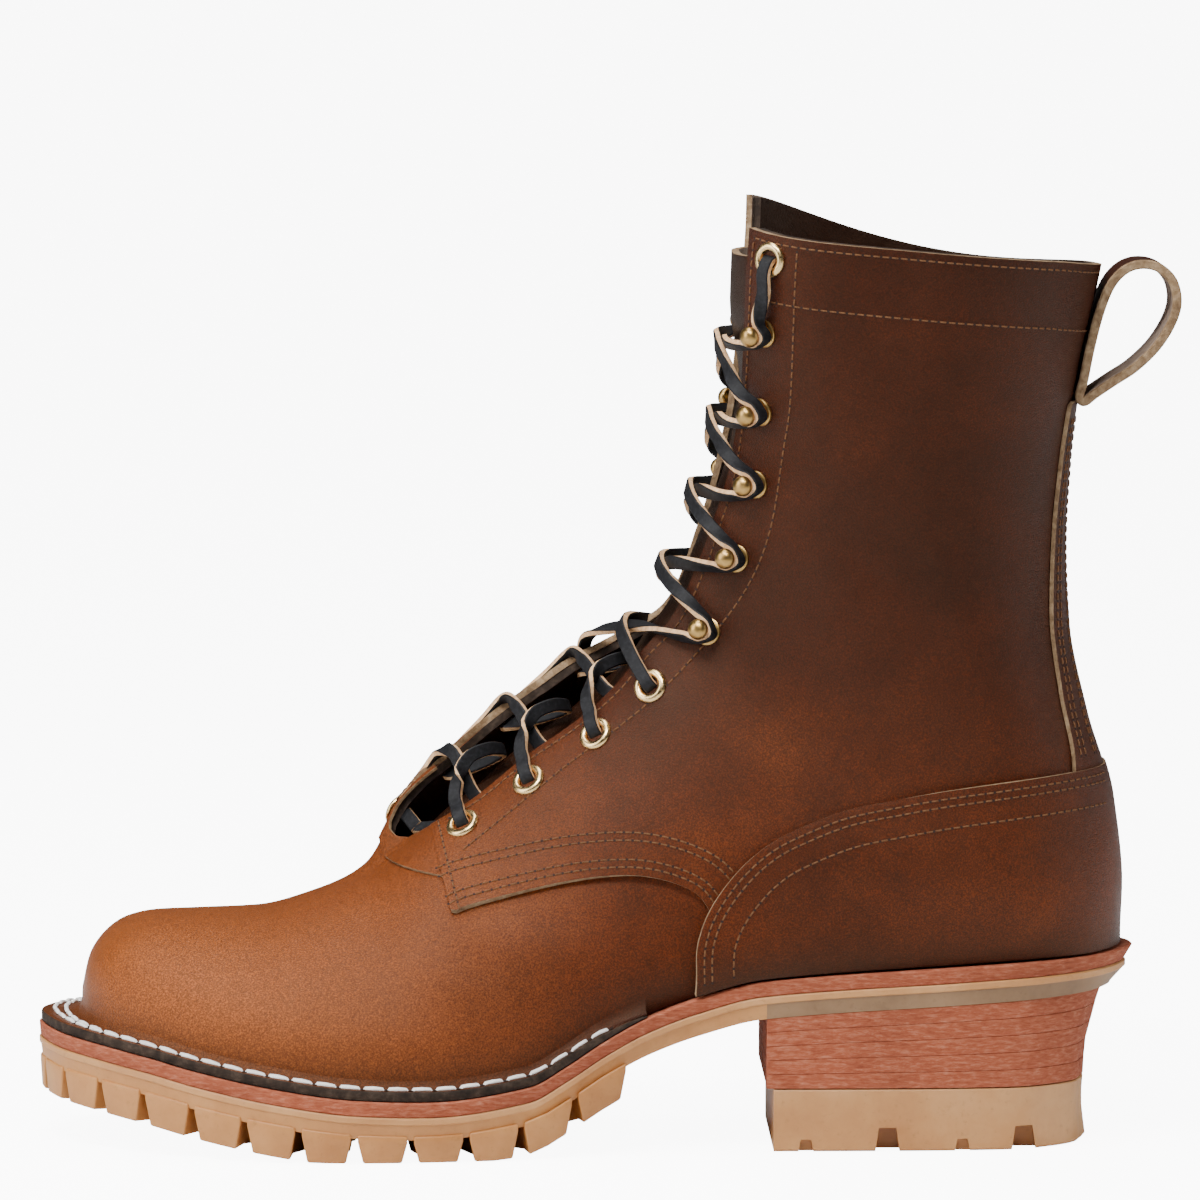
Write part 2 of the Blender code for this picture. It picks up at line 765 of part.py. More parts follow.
def sole_plan(inset, taper=0.0):
    """The sole's outline from the heel round the lateral side to the toe and back.

    The inset moves it in everywhere, and the taper moves in the back more than the sides.
    """
    lateral = []
    medial = []
    for along, outer, inner in SOLE_PLAN:
        x = SOLE_OVERHANG - along * SOLE_LENGTH
        lateral.append(Vector((x, -outer * SOLE_WIDTH, 0.0)))
        medial.append(Vector((x, inner * SOLE_WIDTH, 0.0)))
    points = spline(lateral + medial[-2:0:-1], True, 480)
    moved = []
    for i, point in enumerate(points):
        along = points[(i + 1) % len(points)] - points[i - 1]
        inward = Vector((along.y, -along.x, 0.0)).normalized()
        back = max(0.0, -inward.x) ** 1.5
        moved.append(point + inward * (inset + taper * (HEEL_SIDE_SHARE
                                                        + (1 - HEEL_SIDE_SHARE) * back)))
    return moved


def widths_at(plan, x):
    """The lateral and medial edges of an outline at a place along it."""
    crossings = []
    for a, b in zip(plan, plan[1:] + plan[:1]):
        if (a.x - x) * (b.x - x) <= 0.0 and a.x != b.x:
            crossings.append(a.y + (b.y - a.y) * (x - a.x) / (b.x - a.x))
    return min(crossings), max(crossings)


def plate(name, levels, front=None, back=None, finish=None):
    """A sole layer. Each level is (height function, inset, taper), from the top down."""
    plans = [sole_plan(inset, taper) for _, inset, taper in levels]
    most_back = min(max(p.x for p in plan) for plan in plans) if back is None else back
    most_front = max(min(p.x for p in plan) for plan in plans) if front is None else front
    backs = [back] if back is not None else SOLE_END_STEPS
    fronts = [front] if front is not None else SOLE_END_STEPS
    inner = [x for x, _ in KNOTS if most_front + 5 * MM < x < most_back - 5 * MM]
    rows = []
    for (height, _, _), plan in zip(levels, plans):
        places = [max(p.x for p in plan) - end if back is None else back for end in backs]
        places += inner
        places += [min(p.x for p in plan) + end if front is None else front
                   for end in fronts[::-1]]
        row = []
        for x in places:
            low, high = widths_at(plan, x)
            row.append((Vector((x, low, height(x))), Vector((x, high, height(x)))))
        rows.append(row)
    points = []
    for step in range(len(rows[0])):
        points += [row[step][0] for row in rows]
        points += [row[step][1] for row in rows[::-1]]
    return tube(name, points, 2 * len(rows), finish)


def below_seat(drop):
    return lambda x: seat(x) - drop


def heel_taper(z):
    return smooth(HEEL_CURVE, 1, z / HEEL_SEAT) * SOLE_LENGTH


def make_welt():
    back = UPPER_BACK - 0.49 * UPPER_LENGTH
    thin = 0.05 * UPPER_LENGTH

    def top(x):
        return seat(x) + GAP + WELT * min(1.0, 0.3 + 0.7 * (back - x) / thin)

    welt = plate("welt", [(top, 0.6 * MM, 0.0), (below_seat(-GAP), 0.2 * MM, 0.0)], back=back)
    combine(welt, form("foot", GAP), "DIFFERENCE")
    return finish_mesh(welt, "leather_brown")


def make_midsole():
    low = MIDSOLE
    return plate("midsole", [(below_seat(0.0), 0.0, 0.0),
                             (below_seat(low), 0.0, heel_taper(HEEL_SEAT - low))],
                 finish="leather_raw")


def tread(x):
    return max(0.0, seat(x) - SOLE_DEPTH)


def lug(points, root, foot):
    """One lug: a plan outline drawn from its root down to the tread, with drawn-in walls."""
    middle = sum(points, Vector()) / len(points)
    top = [Vector((p.x, p.y, seat(p.x) - root)) for p in points]
    bottom = []
    for p in points:
        q = middle + (p - middle) * foot
        bottom.append(Vector((q.x, q.y, tread(q.x))))
    return top + bottom


def edge_lugs():
    """Waisted lugs square to the edge, round the forefoot from the lateral to the medial arch."""
    plan = sole_plan(0.8 * MM)
    start = SOLE_OVERHANG - 0.462 * SOLE_LENGTH
    edge = [p for p in plan if p.x < start]
    inward = []
    for i, point in enumerate(edge):
        along = edge[min(i + 1, len(edge) - 1)] - edge[max(i - 1, 0)]
        inward.append(Vector((along.y, -along.x, 0.0)).normalized())
    travelled = [0.0]
    for a, b in zip(edge, edge[1:]):
        travelled.append(travelled[-1] + (b - a).length)
    count = round(travelled[-1] / LUG_PITCH)
    pitch = travelled[-1] / count

    def place(distance, depth):
        i = max(k for k in range(len(edge)) if travelled[k] <= distance + 1e-9)
        return edge[i] + inward[i] * depth

    lugs = []
    for number in range(count):
        first = number * pitch + LUG_GAP / 2
        last = (number + 1) * pitch - LUG_GAP / 2
        middle = (first + last) / 2
        half = (last - first) / 2
        outline = [place(first, 0.0), place(middle, 0.0), place(last, 0.0)]
        outline.append(place(middle + half * LUG_WAIST, LUG_LENGTH * 0.5))
        outline.append(place(last, LUG_LENGTH))
        outline.append(place(first, LUG_LENGTH))
        outline.append(place(middle - half * LUG_WAIST, LUG_LENGTH * 0.5))
        lugs.append(outline)
    return lugs


def cross_lugs():
    """Four-armed lugs in a row down the middle of the forefoot."""
    lugs = []
    arm = CROSS_ARM / 2
    reach = CROSS_SPAN / 2
    shape = ((arm, arm), (arm, reach), (-arm, reach), (-arm, arm), (-reach, arm), (-reach, -arm),
             (-arm, -arm), (-arm, -reach), (arm, -reach), (arm, -arm), (reach, -arm), (reach, arm))
    plan = sole_plan(0.0)
    first = SOLE_OVERHANG - 0.86 * SOLE_LENGTH
    for number in range(5):
        x = first + number * CROSS_PITCH
        low, high = widths_at(plan, x)
        centre = Vector((x, (low + high) / 2, 0.0))
        lugs.append([centre + Vector((u, v, 0.0)) for u, v in shape])
    return lugs


def make_outsole():
    top = MIDSOLE + GAP
    low = MIDSOLE + OUTSOLE
    outsole = plate("outsole", [(below_seat(top), 0.0, heel_taper(HEEL_SEAT - top)),
                                (below_seat(low), 0.0, heel_taper(HEEL_SEAT - low))])
    points = []
    faces = []
    for outline in edge_lugs() + cross_lugs():
        count = len(outline)
        base = len(points)
        points += lug(outline, low - LUG_ROOT, LUG_FOOT)
        faces.append(tuple(base + i for i in range(count)))
        faces.append(tuple(base + count + i for i in reversed(range(count))))
        for i in range(count):
            j = (i + 1) % count
            faces.append((base + i, base + j, base + count + j, base + count + i))
    combine(outsole, solid("lugs", points, faces), "UNION")
    return finish_mesh(outsole, "rubber_honey")


def make_heel():
    """Leather lifts between the outsole and the rubber top lift, and the top lift."""
    under = MIDSOLE + OUTSOLE

    def line(share):
        return lambda x: TOP_LIFT + GAP + (seat(x) - under - GAP - TOP_LIFT - GAP) * share

    for number in range(HEEL_LIFTS):
        top = line((number + 1) / HEEL_LIFTS)
        bottom = line(number / HEEL_LIFTS)

        def low(x, bottom=bottom, number=number):
            return bottom(x) + (GAP if number else 0.0)

        levels = [(top, 0.0, heel_taper(top(0.0))), (low, 0.0, heel_taper(low(0.0)))]
        plate(f"heel_lift_{number + 1}", levels, front=BREAST_X,
              finish="leather_raw")

    cap = plate("heel_top_lift", [(lambda x: TOP_LIFT, 0.0, heel_taper(TOP_LIFT)),
                                  (lambda x: 0.0, 0.0, heel_taper(0.0))],
                front=BREAST_X + 2 * MM)
    plan = sole_plan(0.0, heel_taper(0.0))
    back = max(p.x for p in plan)
    for share, width, height, depth in HEEL_NOTCHES:
        x = BREAST_X + share * (back - BREAST_X)
        for side, y in zip((-1, 1), widths_at(plan, x)):
            outline = [(x - width / 2, 0.0, -MM), (x + width / 2, 0.0, -MM),
                       (x + width / 4, 0.0, height), (x - width / 4, 0.0, height)]
            ends = sorted((y - side * depth, y + side * 0.01))
            combine(cap, prism("notch", outline, 1, ends[0], ends[1]), "DIFFERENCE")
    return finish_mesh(cap, "rubber_honey")


# Lacing

def make_hardware(tree):
    eyelet = [(EYELET_BORE, EYELET_FLANGE), (EYELET_RADIUS - 0.4 * MM, EYELET_FLANGE),
              (EYELET_RADIUS, GAP), (EYELET_BARREL, GAP),
              (EYELET_BARREL, -EYELET_REACH), (EYELET_BORE, -EYELET_REACH)]
    hook = [(HOOK_BASE, GAP), (HOOK_BASE, 1.2 * MM), (HOOK_NECK, 1.8 * MM),
            (HOOK_NECK, HOOK_HEIGHT - 3.6 * MM), (HOOK_BALL, HOOK_HEIGHT - 2.4 * MM),
            (0.6 * HOOK_BALL, HOOK_HEIGHT)]
    numbers = {"eyelet": 0, "hook": 0}
    for height, kind in LACING:
        numbers[kind] += 1
        for side, word in ((-1, "lateral"), (1, "medial")):
            radius = EYELET_RADIUS if kind == "eyelet" else HOOK_BASE
            spot, normal = seated(tree, facing(side, height), height * COLLAR_HEIGHT, radius)
            name = f"{kind}_{word}_{numbers[kind]}"
            if kind == "eyelet":
                lathe(name, eyelet, 10, spot, normal, "brass")
            else:
                rod(name, hook, spot, normal, 8, "brass")


def strap(name, stops, tree, lift):
    """A flat lace over the facings between two (sideways, height) stops."""
    start, end = stops
    spots = []
    steps = 8
    for step in range(steps + 1):
        u = step / steps
        y = start[0] + (end[0] - start[0]) * u
        z = start[1] + (end[1] - start[1]) * u
        spot, normal = front_spot(tree, y, z)
        rise = LACE_LIFT + LACE_THICKNESS / 2 + lift * math.sin(math.pi * u)
        spots.append((spot + normal * rise, normal))
    points = []
    for i, (spot, normal) in enumerate(spots):
        along = spots[min(i + 1, steps)][0] - spots[max(i - 1, 0)][0]
        across = along.cross(normal).normalized() * (LACE_WIDTH / 2)
        up = normal * (LACE_THICKNESS / 2)
        points += [spot - across - up, spot + across - up, spot + across + up, spot - across + up]
    return tube(name, points, 4, "lace_black")


def make_laces(tree):
    """One crossing between each two rows, and the bar at the bottom."""
    clear = EYELET_RADIUS + LACE_WIDTH / 2 + 0.5 * MM
    rows = []
    for height, _ in LACING:
        rows.append((facing(-1, height) + clear, facing(1, height) - clear,
                     height * COLLAR_HEIGHT))
    low = rows[0][2] - 0.5 * MM
    strap("lace_bar", ((rows[0][0], low), (rows[0][1], low)), tree, 0.0)
    for number, (lower, upper) in enumerate(zip(rows, rows[1:])):
        start = lower[2] + (upper[2] - lower[2]) * 0.3
        end = upper[2] - (upper[2] - lower[2]) * 0.08
        first = strap(f"lace_cross_{number + 1}", ((lower[0], start), (upper[1], end)), tree, 0.0)
        second = strap("over", ((lower[1], start), (upper[0], end)), tree, 1.2 * MM)
        finish_mesh(combine(first, second, "UNION"), "lace_black")


def build():
    for thing in list(bpy.data.objects):
        bpy.data.objects.remove(thing, do_unlink=True)
    tree = surface_tree(QUARTER)
    make_upper(tree)
    make_counter()
    make_backstay()
    make_pull_loop()
    make_tongue()
    make_insole()
    make_welt()
    make_midsole()
    make_outsole()
    make_heel()
    make_hardware(tree)
    make_laces(tree)


build()
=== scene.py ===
# %% [markdown]
# # A left logger boot
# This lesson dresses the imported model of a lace-up work boot. The model gives every piece its
# place: the toe points to -X, the outer side of the foot is -Y, and the sole stands on z = 0. Each
# step first says what the piece is on the real boot and how it could be made.

# %% Load the frame and keep the size of the solids
import math

import bmesh
import bpy
import numpy as np
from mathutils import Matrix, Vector
from mathutils.bvhtree import BVHTree


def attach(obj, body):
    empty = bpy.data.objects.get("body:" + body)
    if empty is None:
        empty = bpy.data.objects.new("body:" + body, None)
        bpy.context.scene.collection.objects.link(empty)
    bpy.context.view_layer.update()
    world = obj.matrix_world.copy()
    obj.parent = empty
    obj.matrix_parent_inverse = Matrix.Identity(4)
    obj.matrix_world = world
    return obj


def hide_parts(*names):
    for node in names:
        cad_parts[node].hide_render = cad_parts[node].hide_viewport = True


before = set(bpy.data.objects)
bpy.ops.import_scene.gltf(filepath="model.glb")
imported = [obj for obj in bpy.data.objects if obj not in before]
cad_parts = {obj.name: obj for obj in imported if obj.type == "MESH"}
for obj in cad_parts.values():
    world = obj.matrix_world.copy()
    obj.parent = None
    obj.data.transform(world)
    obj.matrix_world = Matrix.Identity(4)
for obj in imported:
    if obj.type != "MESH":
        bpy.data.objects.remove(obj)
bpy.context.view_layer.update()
MM = 0.001

# %% [markdown]
# ## Camera, floor and light
# The photo is taken from far away with a long lens, a little over the collar, square to the outer
# side. The camera is placed by its distance and two angles round a point in the boot's middle
# plane, and its lens follows from how many millimetres of the boot fit in the frame.

# %% Camera
TARGET = Vector((-93.0 * MM, 0.0, 155 * MM))
CAMERA_TURN = math.radians(-1.0)
CAMERA_RISE = math.radians(5.2)
CAMERA_DISTANCE = 2.6
FRAME_WIDTH = 345.5 * MM

camera_data = bpy.data.cameras.new("camera")
camera = bpy.data.objects.new("camera", camera_data)
bpy.context.scene.collection.objects.link(camera)
bpy.context.scene.camera = camera
back = Vector((math.sin(CAMERA_TURN) * math.cos(CAMERA_RISE),
               -math.cos(CAMERA_TURN) * math.cos(CAMERA_RISE), math.sin(CAMERA_RISE)))
camera.location = TARGET + back * CAMERA_DISTANCE
camera.rotation_mode = "QUATERNION"
camera.rotation_quaternion = back.to_track_quat("Z", "Y")
camera_data.sensor_width = 36.0
camera_data.lens = 36.0 * CAMERA_DISTANCE / FRAME_WIDTH
camera_data.clip_end = 20.0
print("lens:", round(camera_data.lens), "mm")

# %% [markdown]
# ## Floor
# The boot is shown on a plain pale ground. One large plane under the sole gives it, and it shines
# only for the camera, so it looks white without lighting the boot from below.

# %% Floor
bpy.ops.object.select_all(action="DESELECT")
bpy.ops.mesh.primitive_plane_add(size=60.0, location=(0.0, 0.0, -0.2 * MM))
floor = bpy.context.object
floor.name = "floor"
floor_finish = bpy.data.materials.new("floor_white")
floor_finish.use_nodes = True
floor_shader = floor_finish.node_tree.nodes["Principled BSDF"]
floor_shader.inputs["Base Color"].default_value = (0.9, 0.9, 0.9, 1.0)
floor_shader.inputs["Roughness"].default_value = 0.75
floor_shader.inputs["Emission Color"].default_value = (1.0, 1.0, 1.0, 1.0)
glow = floor_finish.node_tree.nodes.new("ShaderNodeLightPath")
strong = floor_finish.node_tree.nodes.new("ShaderNodeMath")
strong.operation = "MULTIPLY"
strong.inputs[1].default_value = 9.0
floor_finish.node_tree.links.new(glow.outputs["Is Camera Ray"], strong.inputs[0])
floor_finish.node_tree.links.new(strong.outputs["Value"], floor_shader.inputs["Emission Strength"])
floor.data.materials.append(floor_finish)

# %% [markdown]
# ## Lights
# Four area lights stand for soft boxes in a studio. Large ones give the leather broad, gentle
# highlights, where a lamp or a sun would give hard spots.

# %% Lights
def softbox(name, place, aim, size, power):
    data = bpy.data.lights.new(name, "AREA")
    data.shape = "RECTANGLE"
    data.size, data.size_y = size
    data.energy = power
    lamp = bpy.data.objects.new(name, data)
    bpy.context.scene.collection.objects.link(lamp)
    lamp.location = place
    lamp.rotation_mode = "QUATERNION"
    lamp.rotation_quaternion = (Vector(place) - Vector(aim)).to_track_quat("Z", "Y")
    return lamp


softbox("left", (-1.3, -0.45, 0.6), (-0.1, 0.0, 0.12), (0.6, 1.0), 11.0)
softbox("key", (-0.45, -0.8, 1.3), (-0.1, 0.0, 0.1), (0.9, 0.28), 27.0)
softbox("top", (-0.25, 0.1, 1.5), (-0.1, 0.0, 0.1), (1.3, 0.5), 15.0)
softbox("right", (1.25, -0.15, 0.6), (0.0, 0.0, 0.12), (0.4, 1.1), 7.0)
world = bpy.data.worlds.new("studio")
bpy.context.scene.world = world
world.use_nodes = True
soft_light = world.node_tree.nodes["Background"]
soft_light.inputs["Color"].default_value = (1.0, 1.0, 1.0, 1.0)
soft_light.inputs["Strength"].default_value = 0.05
white_wall = world.node_tree.nodes.new("ShaderNodeBackground")
white_wall.inputs["Strength"].default_value = 10.0
seen = world.node_tree.nodes.new("ShaderNodeLightPath")
either = world.node_tree.nodes.new("ShaderNodeMixShader")
world.node_tree.links.new(seen.outputs["Is Camera Ray"], either.inputs["Fac"])
world.node_tree.links.new(soft_light.outputs["Background"], either.inputs[1])
world.node_tree.links.new(white_wall.outputs["Background"], either.inputs[2])
world.node_tree.links.new(either.outputs["Shader"],
                          world.node_tree.nodes["World Output"].inputs["Surface"])
print("lights and floor are placed")

# %% [markdown]
# ## Sizes
# These are the boot's own sizes, and lengths in the tables are shares of them. They are the same
# as in the solids but for the collar's slope, COLLAR_TILT and FAR_DIP, which was set here from the
# photo.

# %% Sizes of the boot
SOLE_LENGTH = 316 * MM
SOLE_WIDTH = 108.5 * MM
UPPER_LENGTH = 301 * MM
UPPER_WIDTH = 104 * MM
COLLAR_HEIGHT = 264 * MM
COLLAR_FALL = 12.4 * MM
COLLAR_TILT = 0.13
FAR_DIP = 0.11
HEEL_SEAT = 55.7 * MM
BALL_SEAT = 17.2 * MM
SOLE_BACK = 60.8 * MM
UPPER_BACK = 57.9 * MM
BREAST_X = -46 * MM
WALL = 2.4 * MM
QUARTER = 2.0 * MM
COUNTER = 1.8 * MM
MIDSOLE = 4.3 * MM
OUTSOLE = 6.5 * MM
SOLE_DEPTH = 19.2 * MM
TOP_LIFT = 17.8 * MM
WELT = 3.1 * MM
GAP = 0.3 * MM

# along from the back, as a share of SOLE_LENGTH; rise, as a share of HEEL_SEAT - BALL_SEAT
SEAT_LINE = ((0.0, 1.0), (0.167, 0.922), (0.341, 0.826), (0.397, 0.714), (0.446, 0.571),
             (0.484, 0.410), (0.520, 0.226), (0.553, 0.088), (0.642, 0.0), (0.705, 0.016),
             (0.784, 0.094), (0.857, 0.205), (0.898, 0.281), (1.0, 0.410))


def smooth(table, column, at):
    """Read a column of a table at one or many keys, with a curve that does not overshoot."""
    keys = np.array([row[0] for row in table], float)
    values = np.array([row[column] for row in table], float)
    at = np.clip(np.asarray(at, float), keys[0], keys[-1])
    slopes = np.diff(values) / np.diff(keys)
    before, after = slopes[:-1], slopes[1:]
    total = before + after
    safe = np.where(np.abs(total) < 1e-12, 1.0, total)
    inner = np.where(before * after > 0.0, 2.0 * before * after / safe, 0.0)
    tangents = np.concatenate([[slopes[0]], inner, [slopes[-1]]])
    i = np.clip(np.searchsorted(keys, at, side="right") - 1, 0, len(keys) - 2)
    span = keys[i + 1] - keys[i]
    u = (at - keys[i]) / span
    return (values[i] * (1 + 2 * u) * (1 - u) ** 2 + values[i + 1] * u * u * (3 - 2 * u)
            + tangents[i] * span * u * (1 - u) ** 2 - tangents[i + 1] * span * u * u * (1 - u))


def seat(x):
    """Height of the midsole's top at a place along the sole."""
    return BALL_SEAT + (HEEL_SEAT - BALL_SEAT) * smooth(SEAT_LINE, 1,
                                                       (SOLE_BACK - x) / SOLE_LENGTH)


print("seat height at the heel and the ball:", float(seat(0.0)), float(seat(-0.15)))

# %% [markdown]
# ## Finishes
# The leather is a waxed brown side with short nap: warm brown, lighter and more orange where it is
# stretched over the toe. Near the sole it darkens with painted shade and some oil, and higher up
# the shaft it darkens with painted shade. The colour is mixed from noises of three sizes, and the
# nap is a very fine bump. Cut edges are paler and fibrous.

# %% Helpers for node materials
def new_finish(name):
    finish = bpy.data.materials.new(name)
    finish.use_nodes = True
    nodes = finish.node_tree.nodes
    return finish, nodes, finish.node_tree.links, nodes["Principled BSDF"]


def place_nodes(nodes, links, scale=(1.0, 1.0, 1.0)):
    where = nodes.new("ShaderNodeTexCoord")
    mapping = nodes.new("ShaderNodeMapping")
    mapping.inputs["Scale"].default_value = scale
    links.new(where.outputs["Object"], mapping.inputs["Vector"])
    return mapping.outputs["Vector"]


def noise(nodes, links, vector, scale, detail=3.0, rough=0.55, distortion=0.0):
    made = nodes.new("ShaderNodeTexNoise")
    made.inputs["Scale"].default_value = scale
    made.inputs["Detail"].default_value = detail
    made.inputs["Roughness"].default_value = rough
    made.inputs["Distortion"].default_value = distortion
    links.new(vector, made.inputs["Vector"])
    return made.outputs["Fac"]


def ramp(nodes, links, value, stops):
    made = nodes.new("ShaderNodeValToRGB")
    marks = made.color_ramp.elements
    while len(marks) < len(stops):
        marks.new(0.5)
    for mark, (place, colour) in zip(marks, stops):
        mark.position = place
        mark.color = (*colour, 1.0)
    links.new(value, made.inputs["Fac"])
    return made.outputs["Color"]


def mix(nodes, links, kind, share, first, second):
    made = nodes.new("ShaderNodeMix")
    made.data_type = "RGBA"
    made.blend_type = kind
    for value, socket in ((share, made.inputs[0]), (first, made.inputs[6]),
                          (second, made.inputs[7])):
        if isinstance(value, (int, float)):
            socket.default_value = value
        elif isinstance(value, tuple):
            socket.default_value = (*value, 1.0)
        else:
            links.new(value, socket)
    return made.outputs[2]


def spread(nodes, links, value, low, high, out_low, out_high):
    made = nodes.new("ShaderNodeMapRange")
    made.inputs["From Min"].default_value = low
    made.inputs["From Max"].default_value = high
    made.inputs["To Min"].default_value = out_low
    made.inputs["To Max"].default_value = out_high
    links.new(value, made.inputs["Value"])
    return made.outputs["Result"]


def bump(nodes, links, shader, heights):
    """Chain bumps of (height, strength, distance) into the shader's normal."""
    normal = None
    for height, strength, distance in heights:
        made = nodes.new("ShaderNodeBump")
        made.inputs["Strength"].default_value = strength
        made.inputs["Distance"].default_value = distance
        links.new(height, made.inputs["Height"])
        if normal is not None:
            links.new(normal, made.inputs["Normal"])
        normal = made.outputs["Normal"]
    links.new(normal, shader.inputs["Normal"])


# %% Brown leather
def brown_leather(name, dark, middle, light, toe_light=True):
    """Waxed leather: clouds of colour, a fine nap, painted shade up the shaft, and painted shade
    with some oil where it nears the sole.
    """
    finish, nodes, links, shader = new_finish(name)
    vector = place_nodes(nodes, links)
    cloud = noise(nodes, links, vector, 16.0, 4.0, 0.6, 0.4)
    patch = noise(nodes, links, vector, 95.0, 5.0, 0.62)
    nap = noise(nodes, links, vector, 2100.0, 3.0, 0.7)
    grain = noise(nodes, links, place_nodes(nodes, links, (1.0, 1.0, 0.5)), 3200.0, 2.0, 0.6)
    colour = ramp(nodes, links, cloud, ((0.30, dark), (0.52, middle), (0.74, light)))
    mottle = ramp(nodes, links, patch, ((0.30, dark), (0.50, middle), (0.74, light)))
    colour = mix(nodes, links, "MIX", 0.12, colour, mottle)
    # Painted shade up the shaft: from 75 mm to 140 mm above the floor the leather darkens to about
    # a third, as the shaft's upright faces catch little light.
    level = nodes.new("ShaderNodeSeparateXYZ")
    links.new(place_nodes(nodes, links), level.inputs["Vector"])
    higher = spread(nodes, links, level.outputs["Z"], 0.075, 0.140, 0.0, 1.0)
    painted_shaft_shade = ramp(nodes, links, higher, ((0.0, (1.0, 1.0, 1.0)), (1.0, (0.36, 0.28, 0.24))))
    colour = mix(nodes, links, "MULTIPLY", 1.0, colour, painted_shaft_shade)
    where = nodes.new("ShaderNodeTexCoord")
    axes = nodes.new("ShaderNodeSeparateXYZ")
    links.new(where.outputs["Object"], axes.inputs["Vector"])
    if toe_light:
        toe = spread(nodes, links, axes.outputs["X"], -0.095, -0.205, 0.0, 0.8)
        colour = mix(nodes, links, "MIX", toe, colour, (0.27, 0.074, 0.017))
    fleck = ramp(nodes, links, nap, ((0.36, (0.34, 0.31, 0.28)), (0.50, (0.95, 0.95, 0.95)),
                                     (0.65, (2.2, 2.1, 2.0))))
    colour = mix(nodes, links, "MULTIPLY", 0.75, colour, fleck)
    # Painted shade, with some oil, near the sole: the leather is mixed towards near black where the
    # near_sole share is high.
    shade = nodes.new("ShaderNodeAttribute")
    shade.attribute_name = "near_sole"
    shaded = spread(nodes, links, shade.outputs["Fac"], 0.0, 1.0, 0.0, 0.8)
    colour = mix(nodes, links, "MIX", shaded, colour, (0.012, 0.0045, 0.0025))
    links.new(colour, shader.inputs["Base Color"])
    links.new(spread(nodes, links, patch, 0.3, 0.75, 0.31, 0.42), shader.inputs["Roughness"])
    shader.inputs["Specular IOR Level"].default_value = 0.36
    shader.inputs["Specular Tint"].default_value = (1.0, 0.66, 0.46, 1.0)
    shader.inputs["Sheen Weight"].default_value = 0.03
    shader.inputs["Sheen Roughness"].default_value = 0.4
    shader.inputs["Sheen Tint"].default_value = (1.0, 0.72, 0.52, 1.0)
    bump(nodes, links, shader, ((patch, 0.15, 0.6 * MM), (nap, 0.8, 0.33 * MM),
                                (grain, 0.4, 0.09 * MM)))
    return finish


LEATHER = brown_leather("leather_brown_waxed", (0.034, 0.0050, 0.0006), (0.078, 0.0135, 0.0019),
                        (0.145, 0.0320, 0.0058))
LEATHER_PLAIN = brown_leather("leather_brown_plain", (0.040, 0.0070, 0.0014),
                              (0.090, 0.0190, 0.0040), (0.160, 0.042, 0.0110), toe_light=False)
# A copy of the brown leather at about a third of its brightness: painted shade for the vamp's inner
# face and the tongue, which lie in shade in the throat.
LEATHER_SHADED = brown_leather("leather_brown_shaded", (0.012, 0.0032, 0.0009),
                             (0.028, 0.0075, 0.0022), (0.050, 0.016, 0.0055), toe_light=False)


# %% [markdown]
# ## Cut edges, lining side and thread
# Where leather is cut, its pale fibres show, and its inner side is rough. Both are one fibrous
# finish in other colours. Thread and lace get finishes of their own.

# %% Cut edges, lining side and thread
def fibrous(name, colours, scale=(1.0, 1.0, 1.0), size=260.0, rough=0.85, depth=0.3 * MM):
    finish, nodes, links, shader = new_finish(name)
    vector = place_nodes(nodes, links, scale)
    fibre = noise(nodes, links, vector, size, 5.0, 0.7, 0.3)
    fine = noise(nodes, links, vector, size * 5.0, 3.0, 0.7)
    broad = noise(nodes, links, place_nodes(nodes, links), 28.0, 3.0)
    dark, middle, light = colours
    colour = ramp(nodes, links, fibre, ((0.28, dark), (0.5, middle), (0.74, light)))
    shade = ramp(nodes, links, broad, ((0.3, (0.82, 0.82, 0.82)), (0.7, (1.1, 1.1, 1.1))))
    colour = mix(nodes, links, "MULTIPLY", 0.8, colour, shade)
    links.new(colour, shader.inputs["Base Color"])
    shader.inputs["Roughness"].default_value = rough
    shader.inputs["Specular IOR Level"].default_value = 0.25
    bump(nodes, links, shader, ((fibre, 0.45, depth), (fine, 0.35, depth / 3)))
    return finish


EDGE = fibrous("leather_cut_edge", ((0.11, 0.062, 0.030), (0.25, 0.160, 0.086),
                                    (0.44, 0.31, 0.185)), size=420.0)
EDGE_DARK = fibrous("leather_dark_edge", ((0.010, 0.006, 0.004), (0.028, 0.017, 0.011),
                                          (0.075, 0.050, 0.034)))
FLESH = fibrous("leather_flesh_side", ((0.19, 0.13, 0.095), (0.30, 0.22, 0.17), (0.40, 0.31, 0.25)),
                size=420.0, depth=0.2 * MM)
MIDSOLE_EDGE = fibrous("leather_sole_edge", ((0.22, 0.050, 0.022), (0.345, 0.092, 0.044),
                                             (0.50, 0.190, 0.110)), (0.55, 0.55, 2.6), 520.0)
THREAD = fibrous("thread_tan", ((0.070, 0.026, 0.009), (0.150, 0.062, 0.022), (0.25, 0.115, 0.048)),
                 size=2200.0, rough=0.65, depth=0.08 * MM)
THREAD_WHITE = fibrous("thread_white", ((0.72, 0.69, 0.64), (0.88, 0.86, 0.82), (0.95, 0.94, 0.92)),
                       size=1800.0, rough=0.7, depth=0.10 * MM)
LACE = fibrous("lace_black", ((0.003, 0.003, 0.0035), (0.0075, 0.0075, 0.009),
                              (0.020, 0.020, 0.024)), size=900.0, rough=0.6, depth=0.06 * MM)
LACE_EDGE = fibrous("lace_cut_edge", ((0.45, 0.24, 0.11), (0.72, 0.44, 0.23), (0.86, 0.60, 0.36)),
                    size=700.0, depth=0.06 * MM)


# %% [markdown]
# ## Rubber and brass
# Crepe-coloured rubber is smooth and a little cloudy. The eyelets and hooks are brass, brighter on
# the eyelets than on the handled hooks.

